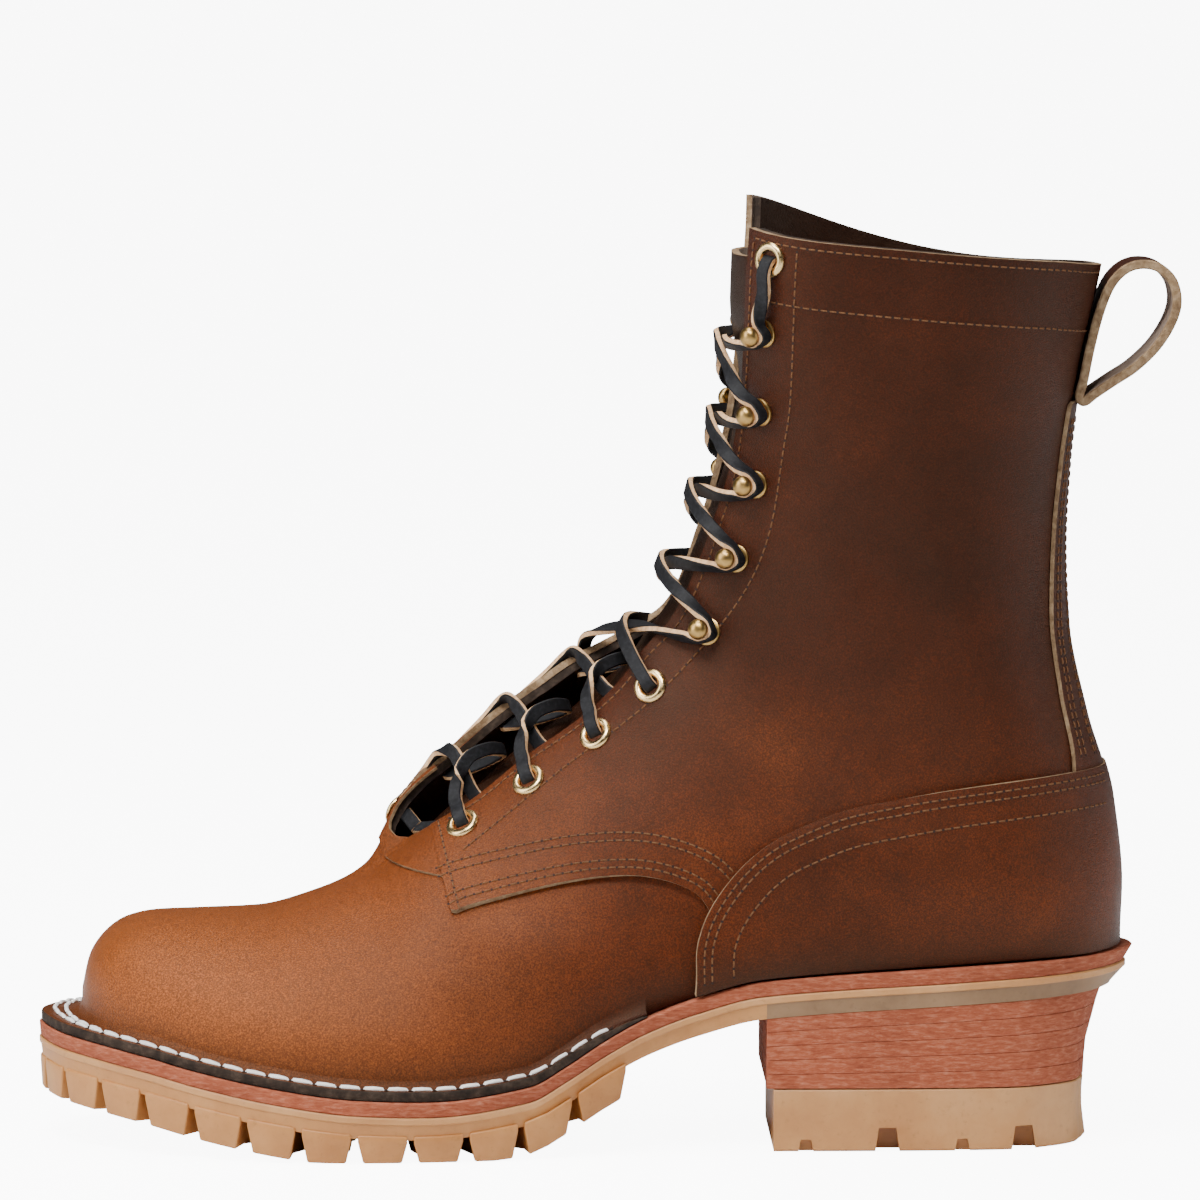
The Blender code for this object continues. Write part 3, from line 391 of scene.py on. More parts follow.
# %% Rubber and brass
def rubber(name, dark, middle, light):
    finish, nodes, links, shader = new_finish(name)
    vector = place_nodes(nodes, links)
    cloud = noise(nodes, links, vector, 34.0, 5.0, 0.6)
    dust = noise(nodes, links, vector, 520.0, 4.0, 0.7)
    colour = ramp(nodes, links, cloud, ((0.3, dark), (0.5, middle), (0.72, light)))
    speck = ramp(nodes, links, dust, ((0.28, (0.72, 0.70, 0.66)), (0.42, (1.0, 1.0, 1.0)),
                                      (0.75, (1.06, 1.06, 1.06))))
    colour = mix(nodes, links, "MULTIPLY", 0.6, colour, speck)
    links.new(colour, shader.inputs["Base Color"])
    links.new(spread(nodes, links, cloud, 0.3, 0.7, 0.38, 0.55), shader.inputs["Roughness"])
    shader.inputs["Subsurface Weight"].default_value = 0.12
    shader.inputs["Subsurface Radius"].default_value = (0.004, 0.002, 0.001)
    bump(nodes, links, shader, ((cloud, 0.08, 0.5 * MM), (dust, 0.12, 0.1 * MM)))
    return finish


RUBBER = rubber("rubber_honey", (0.38, 0.150, 0.038), (0.49, 0.215, 0.062), (0.58, 0.29, 0.10))
RUBBER_OLIVE = rubber("rubber_olive", (0.16, 0.085, 0.035), (0.24, 0.135, 0.062),
                      (0.32, 0.19, 0.095))
RUBBER_PALE = rubber("rubber_pale", (0.42, 0.18, 0.058), (0.52, 0.25, 0.088), (0.61, 0.33, 0.14))


def metal(name, colour, rough):
    finish, nodes, links, shader = new_finish(name)
    vector = place_nodes(nodes, links)
    wear = noise(nodes, links, vector, 700.0, 4.0, 0.6)
    links.new(ramp(nodes, links, wear, ((0.3, tuple(c * 0.85 for c in colour)), (0.7, colour))),
              shader.inputs["Base Color"])
    shader.inputs["Metallic"].default_value = 1.0
    links.new(spread(nodes, links, wear, 0.3, 0.7, rough, rough + 0.14), shader.inputs["Roughness"])
    bump(nodes, links, shader, ((wear, 0.08, 0.03 * MM),))
    return finish


BRASS = metal("brass_aged", (0.46, 0.29, 0.10), 0.27)
GILT = metal("brass_pale", (0.84, 0.60, 0.28), 0.20)
print("finishes:", len(bpy.data.materials))

# %% [markdown]
# ## The last
# A shoemaker pulls leather over a last, so every panel of the upper lies on one smooth form. It is
# drawn here as in the solids: each row of the table is a slice from the toe round to the collar,
# and the surface runs smoothly through the slices. It can't be drawn out of a primitive by hand
# closely enough, so its points are worked out, and the panels are then cut from it.

# %% Sections of the last
# back_along, back_height, front_along, front_height, lateral, medial, ridge, swell, low, high
SECTIONS = (
    (0.998, 0.106, 0.998, 0.165, 0.024, 0.168, 0.067, 0.60, 2.60, 2.60),
    (0.992, 0.088, 0.992, 0.195, 0.111, 0.245, 0.067, 0.56, 2.60, 2.60),
    (0.978, 0.074, 0.978, 0.219, 0.202, 0.327, 0.067, 0.52, 2.60, 2.60),
    (0.956, None, 0.956, 0.236, 0.279, 0.385, 0.062, 0.47, 2.60, 2.60),
    (0.927, None, 0.927, 0.243, 0.341, 0.428, 0.058, 0.44, 2.60, 2.50),
    (0.883, None, 0.883, 0.245, 0.409, 0.457, 0.058, 0.42, 2.70, 2.40),
    (0.830, None, 0.830, 0.249, 0.462, 0.471, 0.048, 0.40, 2.80, 2.20),
    (0.777, None, 0.777, 0.265, 0.495, 0.466, 0.043, 0.37, 2.90, 2.00),
    (0.724, None, 0.721, 0.288, 0.510, 0.442, 0.038, 0.33, 3.00, 1.85),
    (0.671, None, 0.667, 0.339, 0.500, 0.404, 0.038, 0.30, 3.00, 1.75),
    (0.611, None, 0.618, 0.381, 0.471, 0.365, 0.038, 0.28, 3.00, 1.75),
    (0.545, None, 0.569, 0.428, 0.433, 0.337, 0.034, 0.27, 3.00, 1.80),
    (0.471, None, 0.525, 0.468, 0.389, 0.322, 0.029, 0.28, 3.00, 1.85),
    (0.392, None, 0.488, 0.515, 0.361, 0.322, 0.029, 0.30, 3.00, 1.95),
    (0.305, None, 0.465, 0.557, 0.346, 0.327, 0.024, 0.31, 3.00, 2.05),
    (0.216, None, 0.445, 0.591, 0.341, 0.332, 0.024, 0.32, 2.90, 2.15),
    (0.133, None, 0.428, 0.627, 0.337, 0.337, 0.024, 0.33, 2.80, 2.30),
    (0.066, None, 0.414, 0.665, 0.341, 0.341, 0.024, 0.34, 2.50, 2.50),
    (0.016, 0.174, 0.401, 0.703, 0.346, 0.346, 0.019, 0.35, 2.10, 2.70),
    (0.014, 0.273, 0.390, 0.739, 0.346, 0.346, 0.019, 0.36, 2.10, 2.90),
    (0.022, 0.371, 0.382, 0.777, 0.341, 0.346, 0.014, 0.38, 2.10, 3.10),
    (0.045, 0.462, 0.376, 0.814, 0.346, 0.356, 0.010, 0.42, 2.10, 3.20),
    (0.063, 0.561, 0.373, 0.852, 0.361, 0.370, 0.000, 0.46, 2.10, 3.20),
    (0.067, 0.652, 0.372, 0.890, 0.375, 0.385, -0.010, 0.48, 2.15, 3.20),
    (0.063, 0.742, 0.371, 0.928, 0.389, 0.399, -0.019, 0.50, 2.15, 3.20),
    (0.051, 0.841, 0.370, 0.966, 0.404, 0.413, -0.029, 0.50, 2.15, 3.20),
    (0.035, 0.924, 0.369, 1.008, 0.413, 0.423, -0.029, 0.50, 2.15, 3.20),
    (0.023, 0.992, 0.369, 1.061, 0.418, 0.428, -0.029, 0.50, 2.15, 3.20),
)
UNDER_SEAT = 14 * MM
RINGS = 300
AROUND = 200


def last_grid():
    """Points of the last's surface and the way out at each, as arrays of rings."""
    rows = []
    for index, row in enumerate(SECTIONS):
        x = UPPER_BACK - row[0] * UPPER_LENGTH
        low = float(seat(x)) - UNDER_SEAT if row[1] is None else row[1] * COLLAR_HEIGHT
        front = UPPER_BACK - row[2] * UPPER_LENGTH
        rows.append((index, x, low, front, row[3] * COLLAR_HEIGHT, *row[4:]))
    at = np.linspace(0, len(SECTIONS) - 1, RINGS)
    read = [smooth(rows, column, at)[:, None] for column in range(1, 11)]
    x, low, front, top, lateral, medial, ridge, swell, low_round, high_round = read
    angle = (np.arange(AROUND) * 2 * math.pi / AROUND)[None, :]
    rise = np.cos(angle)
    side = np.where(np.sin(angle) >= 0.0, 1.0, -1.0)
    half = (lateral + medial) * UPPER_WIDTH / 2
    middle = (medial - lateral) * UPPER_WIDTH / 2
    under = rise > 0.0
    round_here = np.where(under, low_round, high_round)
    part = np.abs(rise) ** (2 / round_here)
    share = np.where(under, swell * (1 - part), swell + (1 - swell) * part)
    wide = np.abs(np.sin(angle)) ** (2 / round_here)
    shift = np.where(under, middle,
                     middle + (ridge * UPPER_WIDTH - middle) * part * part * (3 - 2 * part))
    points = np.stack([x + (front - x) * share, shift + side * half * wide,
                       low + (top - low) * share], axis=-1)
    across = np.roll(points, -1, axis=1) - np.roll(points, 1, axis=1)
    along = np.gradient(points, axis=0)
    normals = np.cross(across, along)
    normals /= np.linalg.norm(normals, axis=-1, keepdims=True)
    return points, normals


GRID, OUTWARD = last_grid()
print("last:", GRID.shape[0], "rings of", GRID.shape[1], "points")

# %% [markdown]
# ## Cutting panels
# A panel is cut from the last's surface along a line, like leather along a pattern. Each cut is a
# function that is positive where leather stays. Faces across the line are clipped, so the edge is
# clean. Solidify then gives the sheet its thickness and Bevel breaks the cut edge.

# %% Cut a sheet from the last and give it thickness
def sheet_points(offset):
    """The last's surface moved out by an offset, with one more point that closes the toe."""
    toe = GRID[0].mean(axis=0) - np.array((offset + 0.5 * MM, 0.0, 0.0))
    return np.vstack([(GRID + OUTWARD * offset).reshape(-1, 3), toe])


def grid_faces():
    toe = RINGS * AROUND
    faces = [(toe, (j + 1) % AROUND, j) for j in range(AROUND)]
    for i in range(RINGS - 1):
        for j in range(AROUND):
            k = (j + 1) % AROUND
            faces.append((i * AROUND + j, i * AROUND + k,
                          (i + 1) * AROUND + k, (i + 1) * AROUND + j))
    return faces


ALL_FACES = grid_faces()


def trim(points, faces, keep):
    """Keep what lies where the function is positive, and clip the faces across its edge."""
    value = keep(points)
    points = list(map(tuple, points))
    fresh = {}
    result = []
    for face in faces:
        inside = [value[i] >= 0.0 for i in face]
        if all(inside):
            result.append(face)
            continue
        if not any(inside):
            continue
        polygon = []
        for n, i in enumerate(face):
            j = face[(n + 1) % len(face)]
            if value[i] >= 0.0:
                polygon.append(i)
            if (value[i] >= 0.0) != (value[j] >= 0.0):
                key = (min(i, j), max(i, j))
                if key not in fresh:
                    u = value[i] / (value[i] - value[j])
                    a, b = points[i], points[j]
                    fresh[key] = len(points)
                    points.append(tuple(a[c] + (b[c] - a[c]) * u for c in range(3)))
                polygon.append(fresh[key])
        if len(polygon) > 2:
            result.append(tuple(polygon))
    used = sorted({i for face in result for i in face})
    renumber = {old: new for new, old in enumerate(used)}
    kept = np.array([points[i] for i in used])
    return kept, [tuple(renumber[i] for i in face) for face in result]


def new_object(name, points, faces):
    mesh = bpy.data.meshes.new(name)
    mesh.from_pydata([tuple(p) for p in points], [], faces)
    made = bpy.data.objects.new(name, mesh)
    bpy.context.scene.collection.objects.link(made)
    return made


def only(thing):
    bpy.ops.object.select_all(action="DESELECT")
    thing.select_set(True)
    bpy.context.view_layer.objects.active = thing


def apply_all(thing):
    only(thing)
    for modifier in list(thing.modifiers):
        bpy.ops.object.modifier_apply(modifier=modifier.name)
    return thing


def shade_near_sole(panel, reach=17 * MM):
    """Remember at each point how near it is to the sole, where the leather gets painted shade and
    some oil darkening.
    """
    points = np.empty(len(panel.data.vertices) * 3)
    panel.data.vertices.foreach_get("co", points)
    points = points.reshape(-1, 3)
    near = np.clip(1.0 - (points[:, 2] - seat(points[:, 0])) / reach, 0.0, 1.0) ** 1.5
    attribute = panel.data.attributes.new("near_sole", "FLOAT", "POINT")
    attribute.data.foreach_set("value", near)


def leather_sheet(name, offset, thickness, cuts, finishes, edge=0.85 * MM, shape=None):
    """A panel of leather: its outer face lies at the offset, its thickness goes inwards."""
    points, faces = sheet_points(offset), ALL_FACES
    for cut in cuts:
        points, faces = trim(points, faces, cut)
    if shape:
        points = shape(points)
    panel = new_object(name, points, faces)
    for finish in finishes:
        panel.data.materials.append(finish)
    work = bmesh.new()
    work.from_mesh(panel.data)
    bmesh.ops.remove_doubles(work, verts=work.verts, dist=0.05 * MM)
    bmesh.ops.dissolve_degenerate(work, edges=work.edges, dist=0.03 * MM)
    work.to_mesh(panel.data)
    work.free()
    wall = panel.modifiers.new("wall", "SOLIDIFY")
    wall.thickness = thickness
    wall.offset = -1.0
    wall.use_rim = True
    wall.material_offset = 1
    wall.material_offset_rim = 2
    soften = panel.modifiers.new("soften", "BEVEL")
    soften.width = edge
    soften.segments = 3
    soften.material = 2
    soften.limit_method = "ANGLE"
    soften.angle_limit = math.radians(50)
    soften.use_clamp_overlap = True
    apply_all(panel)
    shade_near_sole(panel)
    bpy.ops.object.shade_smooth_by_angle(angle=math.radians(50))
    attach(panel, "root")
    return panel


# %% [markdown]
# ## Panel outlines
# A pattern cutter draws each panel flat. These tables are the panels' edges seen from the side, as
# shares of the boot's length and height, and the panels are cut from the sheet along them.

# %% Lines along which the panels are cut
QUARTER_EDGE = (
    (0.720, 0.490),
    (0.664, 0.345),
    (0.644, 0.262),
    (0.620, 0.272),
    (0.541, 0.294),
    (0.484, 0.302),
    (0.446, 0.298),
    (0.413, 0.283),
    (0.398, 0.260),
    (0.409, 0.204),
    (0.412, 0.100),
)
COUNTER_EDGE = (
    (0.416, 0.100),
    (0.412, 0.184),
    (0.411, 0.228),
    (0.398, 0.268),
    (0.373, 0.307),
    (0.345, 0.335),
    (0.315, 0.353),
    (0.271, 0.372),
    (0.220, 0.384),
    (0.164, 0.395),
    (0.087, 0.406),
    (0.026, 0.411),
    (-0.050, 0.412),
)
FLAP_EDGE = (
    (0.680, 0.420),
    (0.722, 0.345),
    (0.708, 0.305),
    (0.677, 0.300),
    (0.640, 0.295),
    (0.600, 0.345),
)
THROAT = (
    (0.326, 0.034, 0.030),
    (0.338, 0.034, 0.075),
    (0.362, 0.034, 0.094),
    (0.420, 0.031, 0.100),
    (0.500, 0.025, 0.130),
    (0.560, 0.020, 0.140),
    (0.640, 0.012, 0.154),
    (0.721, 0.000, 0.168),
    (0.800, -0.008, 0.190),
    (0.886, -0.014, 0.235),
    (1.000, -0.020, 0.275),
    (1.200, -0.020, 0.290),
)
BACKSTAY_HALF = ((0.300, 0.300), (0.412, 0.265), (0.510, 0.225), (0.620, 0.190),
                 (0.803, 0.145), (1.000, 0.120))


def side_line(rows, fineness=14, sharp=()):
    """A smooth line in the XZ plane through the rows of a side outline."""
    marks = [np.array((UPPER_BACK - a * UPPER_LENGTH, h * COLLAR_HEIGHT)) for a, h in rows]
    line = []
    for i in range(len(marks) - 1):
        a = marks[i - 1] if i > 0 and i not in sharp else marks[i]
        b, c = marks[i], marks[i + 1]
        d = marks[i + 2] if i + 2 < len(marks) and i + 1 not in sharp else marks[i + 1]
        for step in range(fineness):
            u = step / fineness
            line.append(0.5 * (2 * b + (c - a) * u + (2 * a - 5 * b + 4 * c - d) * u * u
                               + (3 * b - a - 3 * c + d) * u ** 3))
    line.append(marks[-1])
    return np.array(line)


def inside_outline(line):
    """A cut that keeps what is inside a closed line in the side view."""
    start, end = line, np.roll(line, -1, axis=0)

    def keep(points):
        flat = points[:, [0, 2]]
        distance = np.full(len(flat), 1e9)
        odd = np.zeros(len(flat), bool)
        for a, b in zip(start, end):
            edge = b - a
            length = max(float(edge @ edge), 1e-18)
            u = np.clip(((flat - a) @ edge) / length, 0.0, 1.0)
            near = a + u[:, None] * edge
            distance = np.minimum(distance, np.linalg.norm(flat - near, axis=1))
            if a[1] != b[1]:
                crosses = (a[1] > flat[:, 1]) != (b[1] > flat[:, 1])
                at = (b[0] - a[0]) * (flat[:, 1] - a[1]) / (b[1] - a[1]) + a[0]
                odd ^= crosses & (flat[:, 0] < at)
        return np.where(odd, distance, -distance)
    return keep


FAR_BACK = UPPER_BACK + 40 * MM
TOP = 1.4 * COLLAR_HEIGHT
quarter_line = side_line(QUARTER_EDGE, sharp=(1, 2, 8))
quarter_outline = np.vstack([quarter_line, [(FAR_BACK, 0.0), (FAR_BACK, TOP),
                                            (quarter_line[0][0], TOP)]])
counter_line = side_line(COUNTER_EDGE)
counter_outline = np.vstack([counter_line, [(FAR_BACK, 0.406 * COLLAR_HEIGHT),
                                            (FAR_BACK, 0.0)]])
flap_outline = side_line(FLAP_EDGE, sharp=(1, 2, 4))


def collar_height(points):
    front = UPPER_BACK - 0.366 * UPPER_LENGTH
    share = (points[:, 0] - front) / (UPPER_BACK - front)
    dip = FAR_DIP * np.maximum(0.0, points[:, 1] + 0.03) * 4 * share * (1 - share)
    return (COLLAR_HEIGHT - COLLAR_FALL * share
            + COLLAR_TILT * (points[:, 1] + 0.03) * (1 - share)) - dip


def over_seat(height):
    return lambda points: points[:, 2] - seat(points[:, 0]) - height


def under_collar(drop=0.0):
    return lambda points: collar_height(points) - drop - points[:, 2]


def beside_throat(more=0.0):
    def keep(points):
        height = points[:, 2] / COLLAR_HEIGHT
        middle = smooth(THROAT, 1, height) * UPPER_WIDTH
        half = smooth(THROAT, 2, height) * UPPER_WIDTH + more
        gap = np.abs(points[:, 1] - middle) - half
        behind = points[:, 0] - (UPPER_BACK - 0.26 * UPPER_LENGTH)
        below = THROAT[0][0] * COLLAR_HEIGHT - points[:, 2]
        return np.maximum(np.maximum(gap, behind), below)
    return keep


# %% [markdown]
# ## Soft hollows
# New leather that has been pulled and laced is never dead smooth. The main troughs and swellings
# are listed in the boot's own sizes. Each is a long soft bell on one side of the boot or both.

# %% Soft troughs and swellings
# along, height, turn in degrees, half-length, half-width, depth in mm (minus is a swelling), side
HOLLOWS = (
    (0.330, 0.480, 70.0, 30.0, 15.0, 0.9, 0),
    (0.240, 0.420, 20.0, 34.0, 12.0, 0.7, 0),
    (0.420, 0.560, 50.0, 26.0, 9.0, 0.5, 0),
    (0.170, 0.700, 85.0, 40.0, 14.0, 0.6, -1),
    (0.290, 0.640, 80.0, 34.0, 10.0, -0.5, -1),
    (0.560, 0.330, 25.0, 26.0, 8.0, 0.5, 0),
    (0.640, 0.225, 30.0, 24.0, 6.0, 0.6, 0),
    (0.700, 0.190, 60.0, 18.0, 6.0, 0.4, -1),
    (0.230, 0.315, 8.0, 44.0, 11.0, -1.3, 0),
    (0.200, 0.235, 2.0, 60.0, 9.0, 0.8, 0),
    (0.300, 0.470, 25.0, 44.0, 13.0, 1.1, 0),
    (0.600, 0.235, 12.0, 40.0, 8.0, -1.1, 0),
    (0.560, 0.150, 6.0, 50.0, 7.0, 0.8, 0),
)


def hollow_depth(points):
    depth = np.zeros(len(points))
    for along, height, turn, length, width, deep, side in HOLLOWS:
        x = points[:, 0] - (UPPER_BACK - along * UPPER_LENGTH)
        z = points[:, 2] - height * COLLAR_HEIGHT
        turn = math.radians(turn)
        u = (x * -math.cos(turn) + z * math.sin(turn)) / (length * MM)
        v = (x * math.sin(turn) + z * math.cos(turn)) / (width * MM)
        bell = np.exp(-u * u - v * v) * deep * MM
        if side:
            bell *= 1.0 / (1.0 + np.exp(-side * points[:, 1] / (6 * MM)))
        depth += bell
    return depth


# The inner facing stands open beside the eyelets. It does so here alone, and not in the solids.
# along, height, turn, half-length, half-width, rise
FAR_LIP = (0.587, 0.418, 143.5, 48.0, 17.0, 14.0)
LIP_START, LIP_FULL = 1.0 * MM, 11.0 * MM
LIP_EDGE, LIP_FALL = 14.0 * MM, 16.0 * MM


def lip_rise(points):
    along, height, turn, length, width, rise = FAR_LIP
    x = points[:, 0] - (UPPER_BACK - along * UPPER_LENGTH)
    z = points[:, 2] - height * COLLAR_HEIGHT
    turn = math.radians(turn)
    u = (x * -math.cos(turn) + z * math.sin(turn)) / (length * MM)
    v = (x * math.sin(turn) + z * math.cos(turn)) / (width * MM)
    share = np.clip((points[:, 1] - LIP_START) / (LIP_FULL - LIP_START), 0.0, 1.0)
    past = np.clip((points[:, 1] - LIP_EDGE) / LIP_FALL, 0.0, None)
    return np.exp(-u ** 4 - v * v - past * past) * rise * MM * share * share * (3 - 2 * share)


flat_points = GRID.reshape(-1, 3)
LIP = lip_rise(flat_points)
GRID = GRID - OUTWARD * (hollow_depth(flat_points) - LIP).reshape(RINGS, AROUND, 1)
print("hollows:", len(HOLLOWS))

# %% [markdown]
# ## The upper
# The inner wall is one sheet over the whole last, and the quarters lie on it from the throat to the
# heel. Two thicknesses show at the facing and at the collar, as on the real boot.

# %% Inner wall with the vamp, and the quarters
wall_cuts = [over_seat(0.5 * MM), under_collar(0.0), beside_throat(0.0)]
# The vamp's inner face takes the darker copy of the leather, painted shade.
vamp = leather_sheet("vamp", 0.0, WALL, wall_cuts, (LEATHER, LEATHER_SHADED, EDGE_DARK))
quarters = leather_sheet("quarters", QUARTER, QUARTER - 0.05 * MM,
                         [over_seat(0.8 * MM), inside_outline(quarter_outline), under_collar(0.0),
                          beside_throat(0.2 * MM)], (LEATHER, FLESH, EDGE))
flap = leather_sheet("tongue_flap", 0.5 * QUARTER, 0.5 * QUARTER - 0.05 * MM,
                     [inside_outline(flap_outline), beside_throat(-2.0 * MM)],
                     (LEATHER, FLESH, EDGE))
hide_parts("upper")
print("upper:", [len(p.data.polygons) for p in (vamp, quarters, flap)])

# %% [markdown]
# ## Counter, backstay and tongue
# The counter stiffens the heel, the backstay covers the back seam, and the tongue closes the
# throat. All three are cut from the same sheet as the upper, at other distances from the last, so
# that they lie on it as leather does. A separately modelled panel would not follow its curve.

# %% Counter, backstay and tongue
counter = leather_sheet("counter_cover", QUARTER + GAP + COUNTER, COUNTER + GAP - 0.1 * MM,
                        [over_seat(0.8 * MM), inside_outline(counter_outline)],
                        (LEATHER, FLESH, EDGE))
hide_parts("counter")


def on_backstay(more=0.0):
    def keep(points):
        half = smooth(BACKSTAY_HALF, 1, points[:, 2] / COLLAR_HEIGHT) * UPPER_WIDTH + more
        inside = half - np.abs(points[:, 1])
        behind = points[:, 0]
        above = points[:, 2] - 0.400 * COLLAR_HEIGHT
        below = 0.806 * COLLAR_HEIGHT - points[:, 2]
        return np.minimum(np.minimum(inside, behind), np.minimum(above, below))
    return keep


backstay = leather_sheet("backstay_strip", QUARTER + COUNTER - 0.4 * MM, COUNTER - 0.5 * MM,
                         [on_backstay()], (LEATHER, FLESH, EDGE))
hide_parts("backstay")


def on_tongue(points):
    height = points[:, 2] / COLLAR_HEIGHT
    middle = smooth(THROAT, 1, height) * UPPER_WIDTH
    half = smooth(((0.30, 0.20), (0.45, 0.27), (0.70, 0.33), (0.95, 0.34), (0.97, 0.25)), 1,
                  height) * UPPER_WIDTH
    side = half - np.abs(points[:, 1] - middle)
    front = (UPPER_BACK - 0.26 * UPPER_LENGTH) - points[:, 0]
    ends = np.minimum(height - 0.315, 0.968 - height) * COLLAR_HEIGHT
    return np.minimum(np.minimum(side, front), ends)


def tongue_shape(points):
    """Lower the tongue where the facing stands open over it, and let its top lean forward."""
    low = lip_rise(points + np.array((-4 * MM, 0.0, 4 * MM)))
    lean = np.clip((points[:, 2] / COLLAR_HEIGHT - 0.80) / 0.12, 0.0, 1.0)
    moved = points.copy()
    moved[:, 0] += 0.75 * low - 4.5 * MM * lean * lean * (3 - 2 * lean)
    moved[:, 2] -= 0.75 * low
    return moved


# The tongue takes the darker copy of the leather, painted shade.
tongue = leather_sheet("tongue_sheet", -WALL - GAP, 2.2 * MM, [on_tongue],
                       (LEATHER_SHADED, FLESH, EDGE), shape=tongue_shape)
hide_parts("tongue")
print("overlays:", [len(p.data.polygons) for p in (counter, backstay, tongue)])

# %% [markdown]
# ## Places on the leather
# Eyelets, laces and stitches all sit on the leather's outer face. A ray from the front, the side,
# the back or the middle of the shaft finds the place and the way out of it.

# %% Find places on the leather
def tree_at(offset):
    return BVHTree.FromPolygons([Vector(p) for p in sheet_points(offset)], ALL_FACES)


ON_VAMP = tree_at(0.0)
ON_QUARTER = tree_at(QUARTER)
ON_COUNTER = tree_at(QUARTER + GAP + COUNTER)
ON_BACKSTAY = tree_at(QUARTER + COUNTER - 0.4 * MM)


def hit(tree, start, way):
    place, out, _, _ = tree.ray_cast(Vector(start), Vector(way))
    if place is None:
        return None
    if out.dot(Vector(way)) > 0.0:
        out = -out
    return place, out


def from_front(tree, y, z):
    return hit(tree, (-0.4, y, z), (1.0, 0.0, 0.0))


def from_side(tree, x, z, side):
    return hit(tree, (x, side * 0.2, z), (0.0, -side, 0.0))


def from_back(tree, y, z):
    return hit(tree, (0.2, y, z), (-1.0, 0.0, 0.0))


def round_shaft(tree, angle, drop):
    """A place a little under the collar, at an angle round the shaft's middle."""
    way = Vector((math.cos(angle), math.sin(angle), 0.0))
    z = COLLAR_HEIGHT - drop
    for _ in range(4):
        place = tree.ray_cast(Vector((0.0, 0.0, z)) + way * 0.2, -way)[0]
        z = float(collar_height(np.array([place]))[0]) - drop
    return hit(tree, Vector((0.0, 0.0, z)) + way * 0.2, -way)


def flow(marks, fineness):
    """Points along a smooth curve through marks, whatever their spacing."""
    marks = np.array(marks, float)
    steps = np.linalg.norm(np.diff(marks, axis=0), axis=1)
    at = np.concatenate([[0.0], np.cumsum(np.maximum(steps, 1e-6))])
    slopes = np.gradient(marks, at, axis=0)
    result = []
    for i in range(len(marks) - 1):
        span = at[i + 1] - at[i]
        for u in np.arange(fineness) / fineness:
            result.append(marks[i] * (1 + 2 * u) * (1 - u) ** 2 + marks[i + 1] * u * u * (3 - 2 * u)
                          + slopes[i] * span * u * (1 - u) ** 2
                          - slopes[i + 1] * span * u * u * (1 - u))
    result.append(marks[-1])
    return np.array(result)


print("trees are ready")

# %% [markdown]
# ## The sole
# The vamp is not tucked under: it is turned outwards and stitched down to the leather midsole with
# two rows of thick white thread. Under the midsole come the rubber lug sole and, behind, a stack
# of leather lifts on a rubber top lift. Each layer is a stack of outlines, with its edges broken.

# %% Outline of the sole
SOLE_PLAN = (
    (0.000, 0.000, 0.000), (0.025, 0.190, 0.190), (0.080, 0.304, 0.304), (0.150, 0.341, 0.341),
    (0.250, 0.350, 0.341), (0.350, 0.352, 0.315), (0.420, 0.370, 0.305), (0.500, 0.424, 0.306),
    (0.580, 0.488, 0.350), (0.660, 0.525, 0.424), (0.720, 0.530, 0.470), (0.780, 0.507, 0.497),
    (0.850, 0.442, 0.497), (0.910, 0.350, 0.451), (0.960, 0.221, 0.350), (0.985, 0.111, 0.249),
    (1.000, -0.067, 0.067),
)
HEEL_CURVE = ((0.000, 0.0430), (0.200, 0.0470), (0.323, 0.0455), (0.467, 0.0435), (0.592, 0.0370),
              (0.740, 0.0280), (0.838, 0.0150), (1.000, 0.0000))
HEEL_SIDE_SHARE = 0.12


def plan_marks():
    rows = [np.array((SOLE_BACK - a * SOLE_LENGTH, -o * SOLE_WIDTH)) for a, o, _ in SOLE_PLAN]
    rows += [np.array((SOLE_BACK - a * SOLE_LENGTH, i * SOLE_WIDTH))
             for a, _, i in SOLE_PLAN[-2:0:-1]]
    return rows


def closed_curve(marks, fineness):
    total = len(marks)
    result = []
    for i in range(total):
        a, b, c, d = (marks[(i + k) % total] for k in (-1, 0, 1, 2))
        for u in np.arange(fineness) / fineness:
            result.append(0.5 * (2 * b + (c - a) * u + (2 * a - 5 * b + 4 * c - d) * u * u
                                 + (3 * b - a - 3 * c + d) * u ** 3))
    return np.array(result)


PLAN = closed_curve(plan_marks(), 15)


def sole_plan(inset, taper=0.0):
    """The outline from the back round the outer side to the toe and home, moved in."""
    along = np.roll(PLAN, -1, axis=0) - np.roll(PLAN, 1, axis=0)
    inward = np.stack([along[:, 1], -along[:, 0]], axis=1)
    inward /= np.linalg.norm(inward, axis=1, keepdims=True)
    back = np.maximum(0.0, -inward[:, 0]) ** 1.5
    move = inset + taper * (HEEL_SIDE_SHARE + (1 - HEEL_SIDE_SHARE) * back)
    return PLAN + inward * move[:, None]


def from_toe(plan):
    """The same outline, from the toe along the outer side to the back and home."""
    half = len(plan) // 2
    return np.vstack([plan[half::-1], plan[:half:-1]])


def heel_part(plan, front, count=90):
    """The outline behind the breast, from its outer corner to its inner one."""
    def behind(side):
        keep = [side[0]]
        for a, b in zip(side, side[1:]):
            if b[0] < front:
                keep.append(a + (b - a) * (a[0] - front) / (a[0] - b[0]))
                break
            keep.append(b)
        keep = np.array(keep)
        gone = np.concatenate([[0.0], np.cumsum(np.linalg.norm(np.diff(keep, axis=0), axis=1))])
        even = np.linspace(0.0, gone[-1], count)
        return np.stack([np.interp(even, gone, keep[:, 0]), np.interp(even, gone, keep[:, 1])], 1)
    half = len(plan) // 2
    outer = behind(plan[:half])
    inner = behind(np.vstack([plan[:1], plan[:half:-1]]))
    return np.vstack([outer[::-1], inner[1:]])


def raised(outline, height):
    return np.column_stack([outline, height(outline[:, 0])])


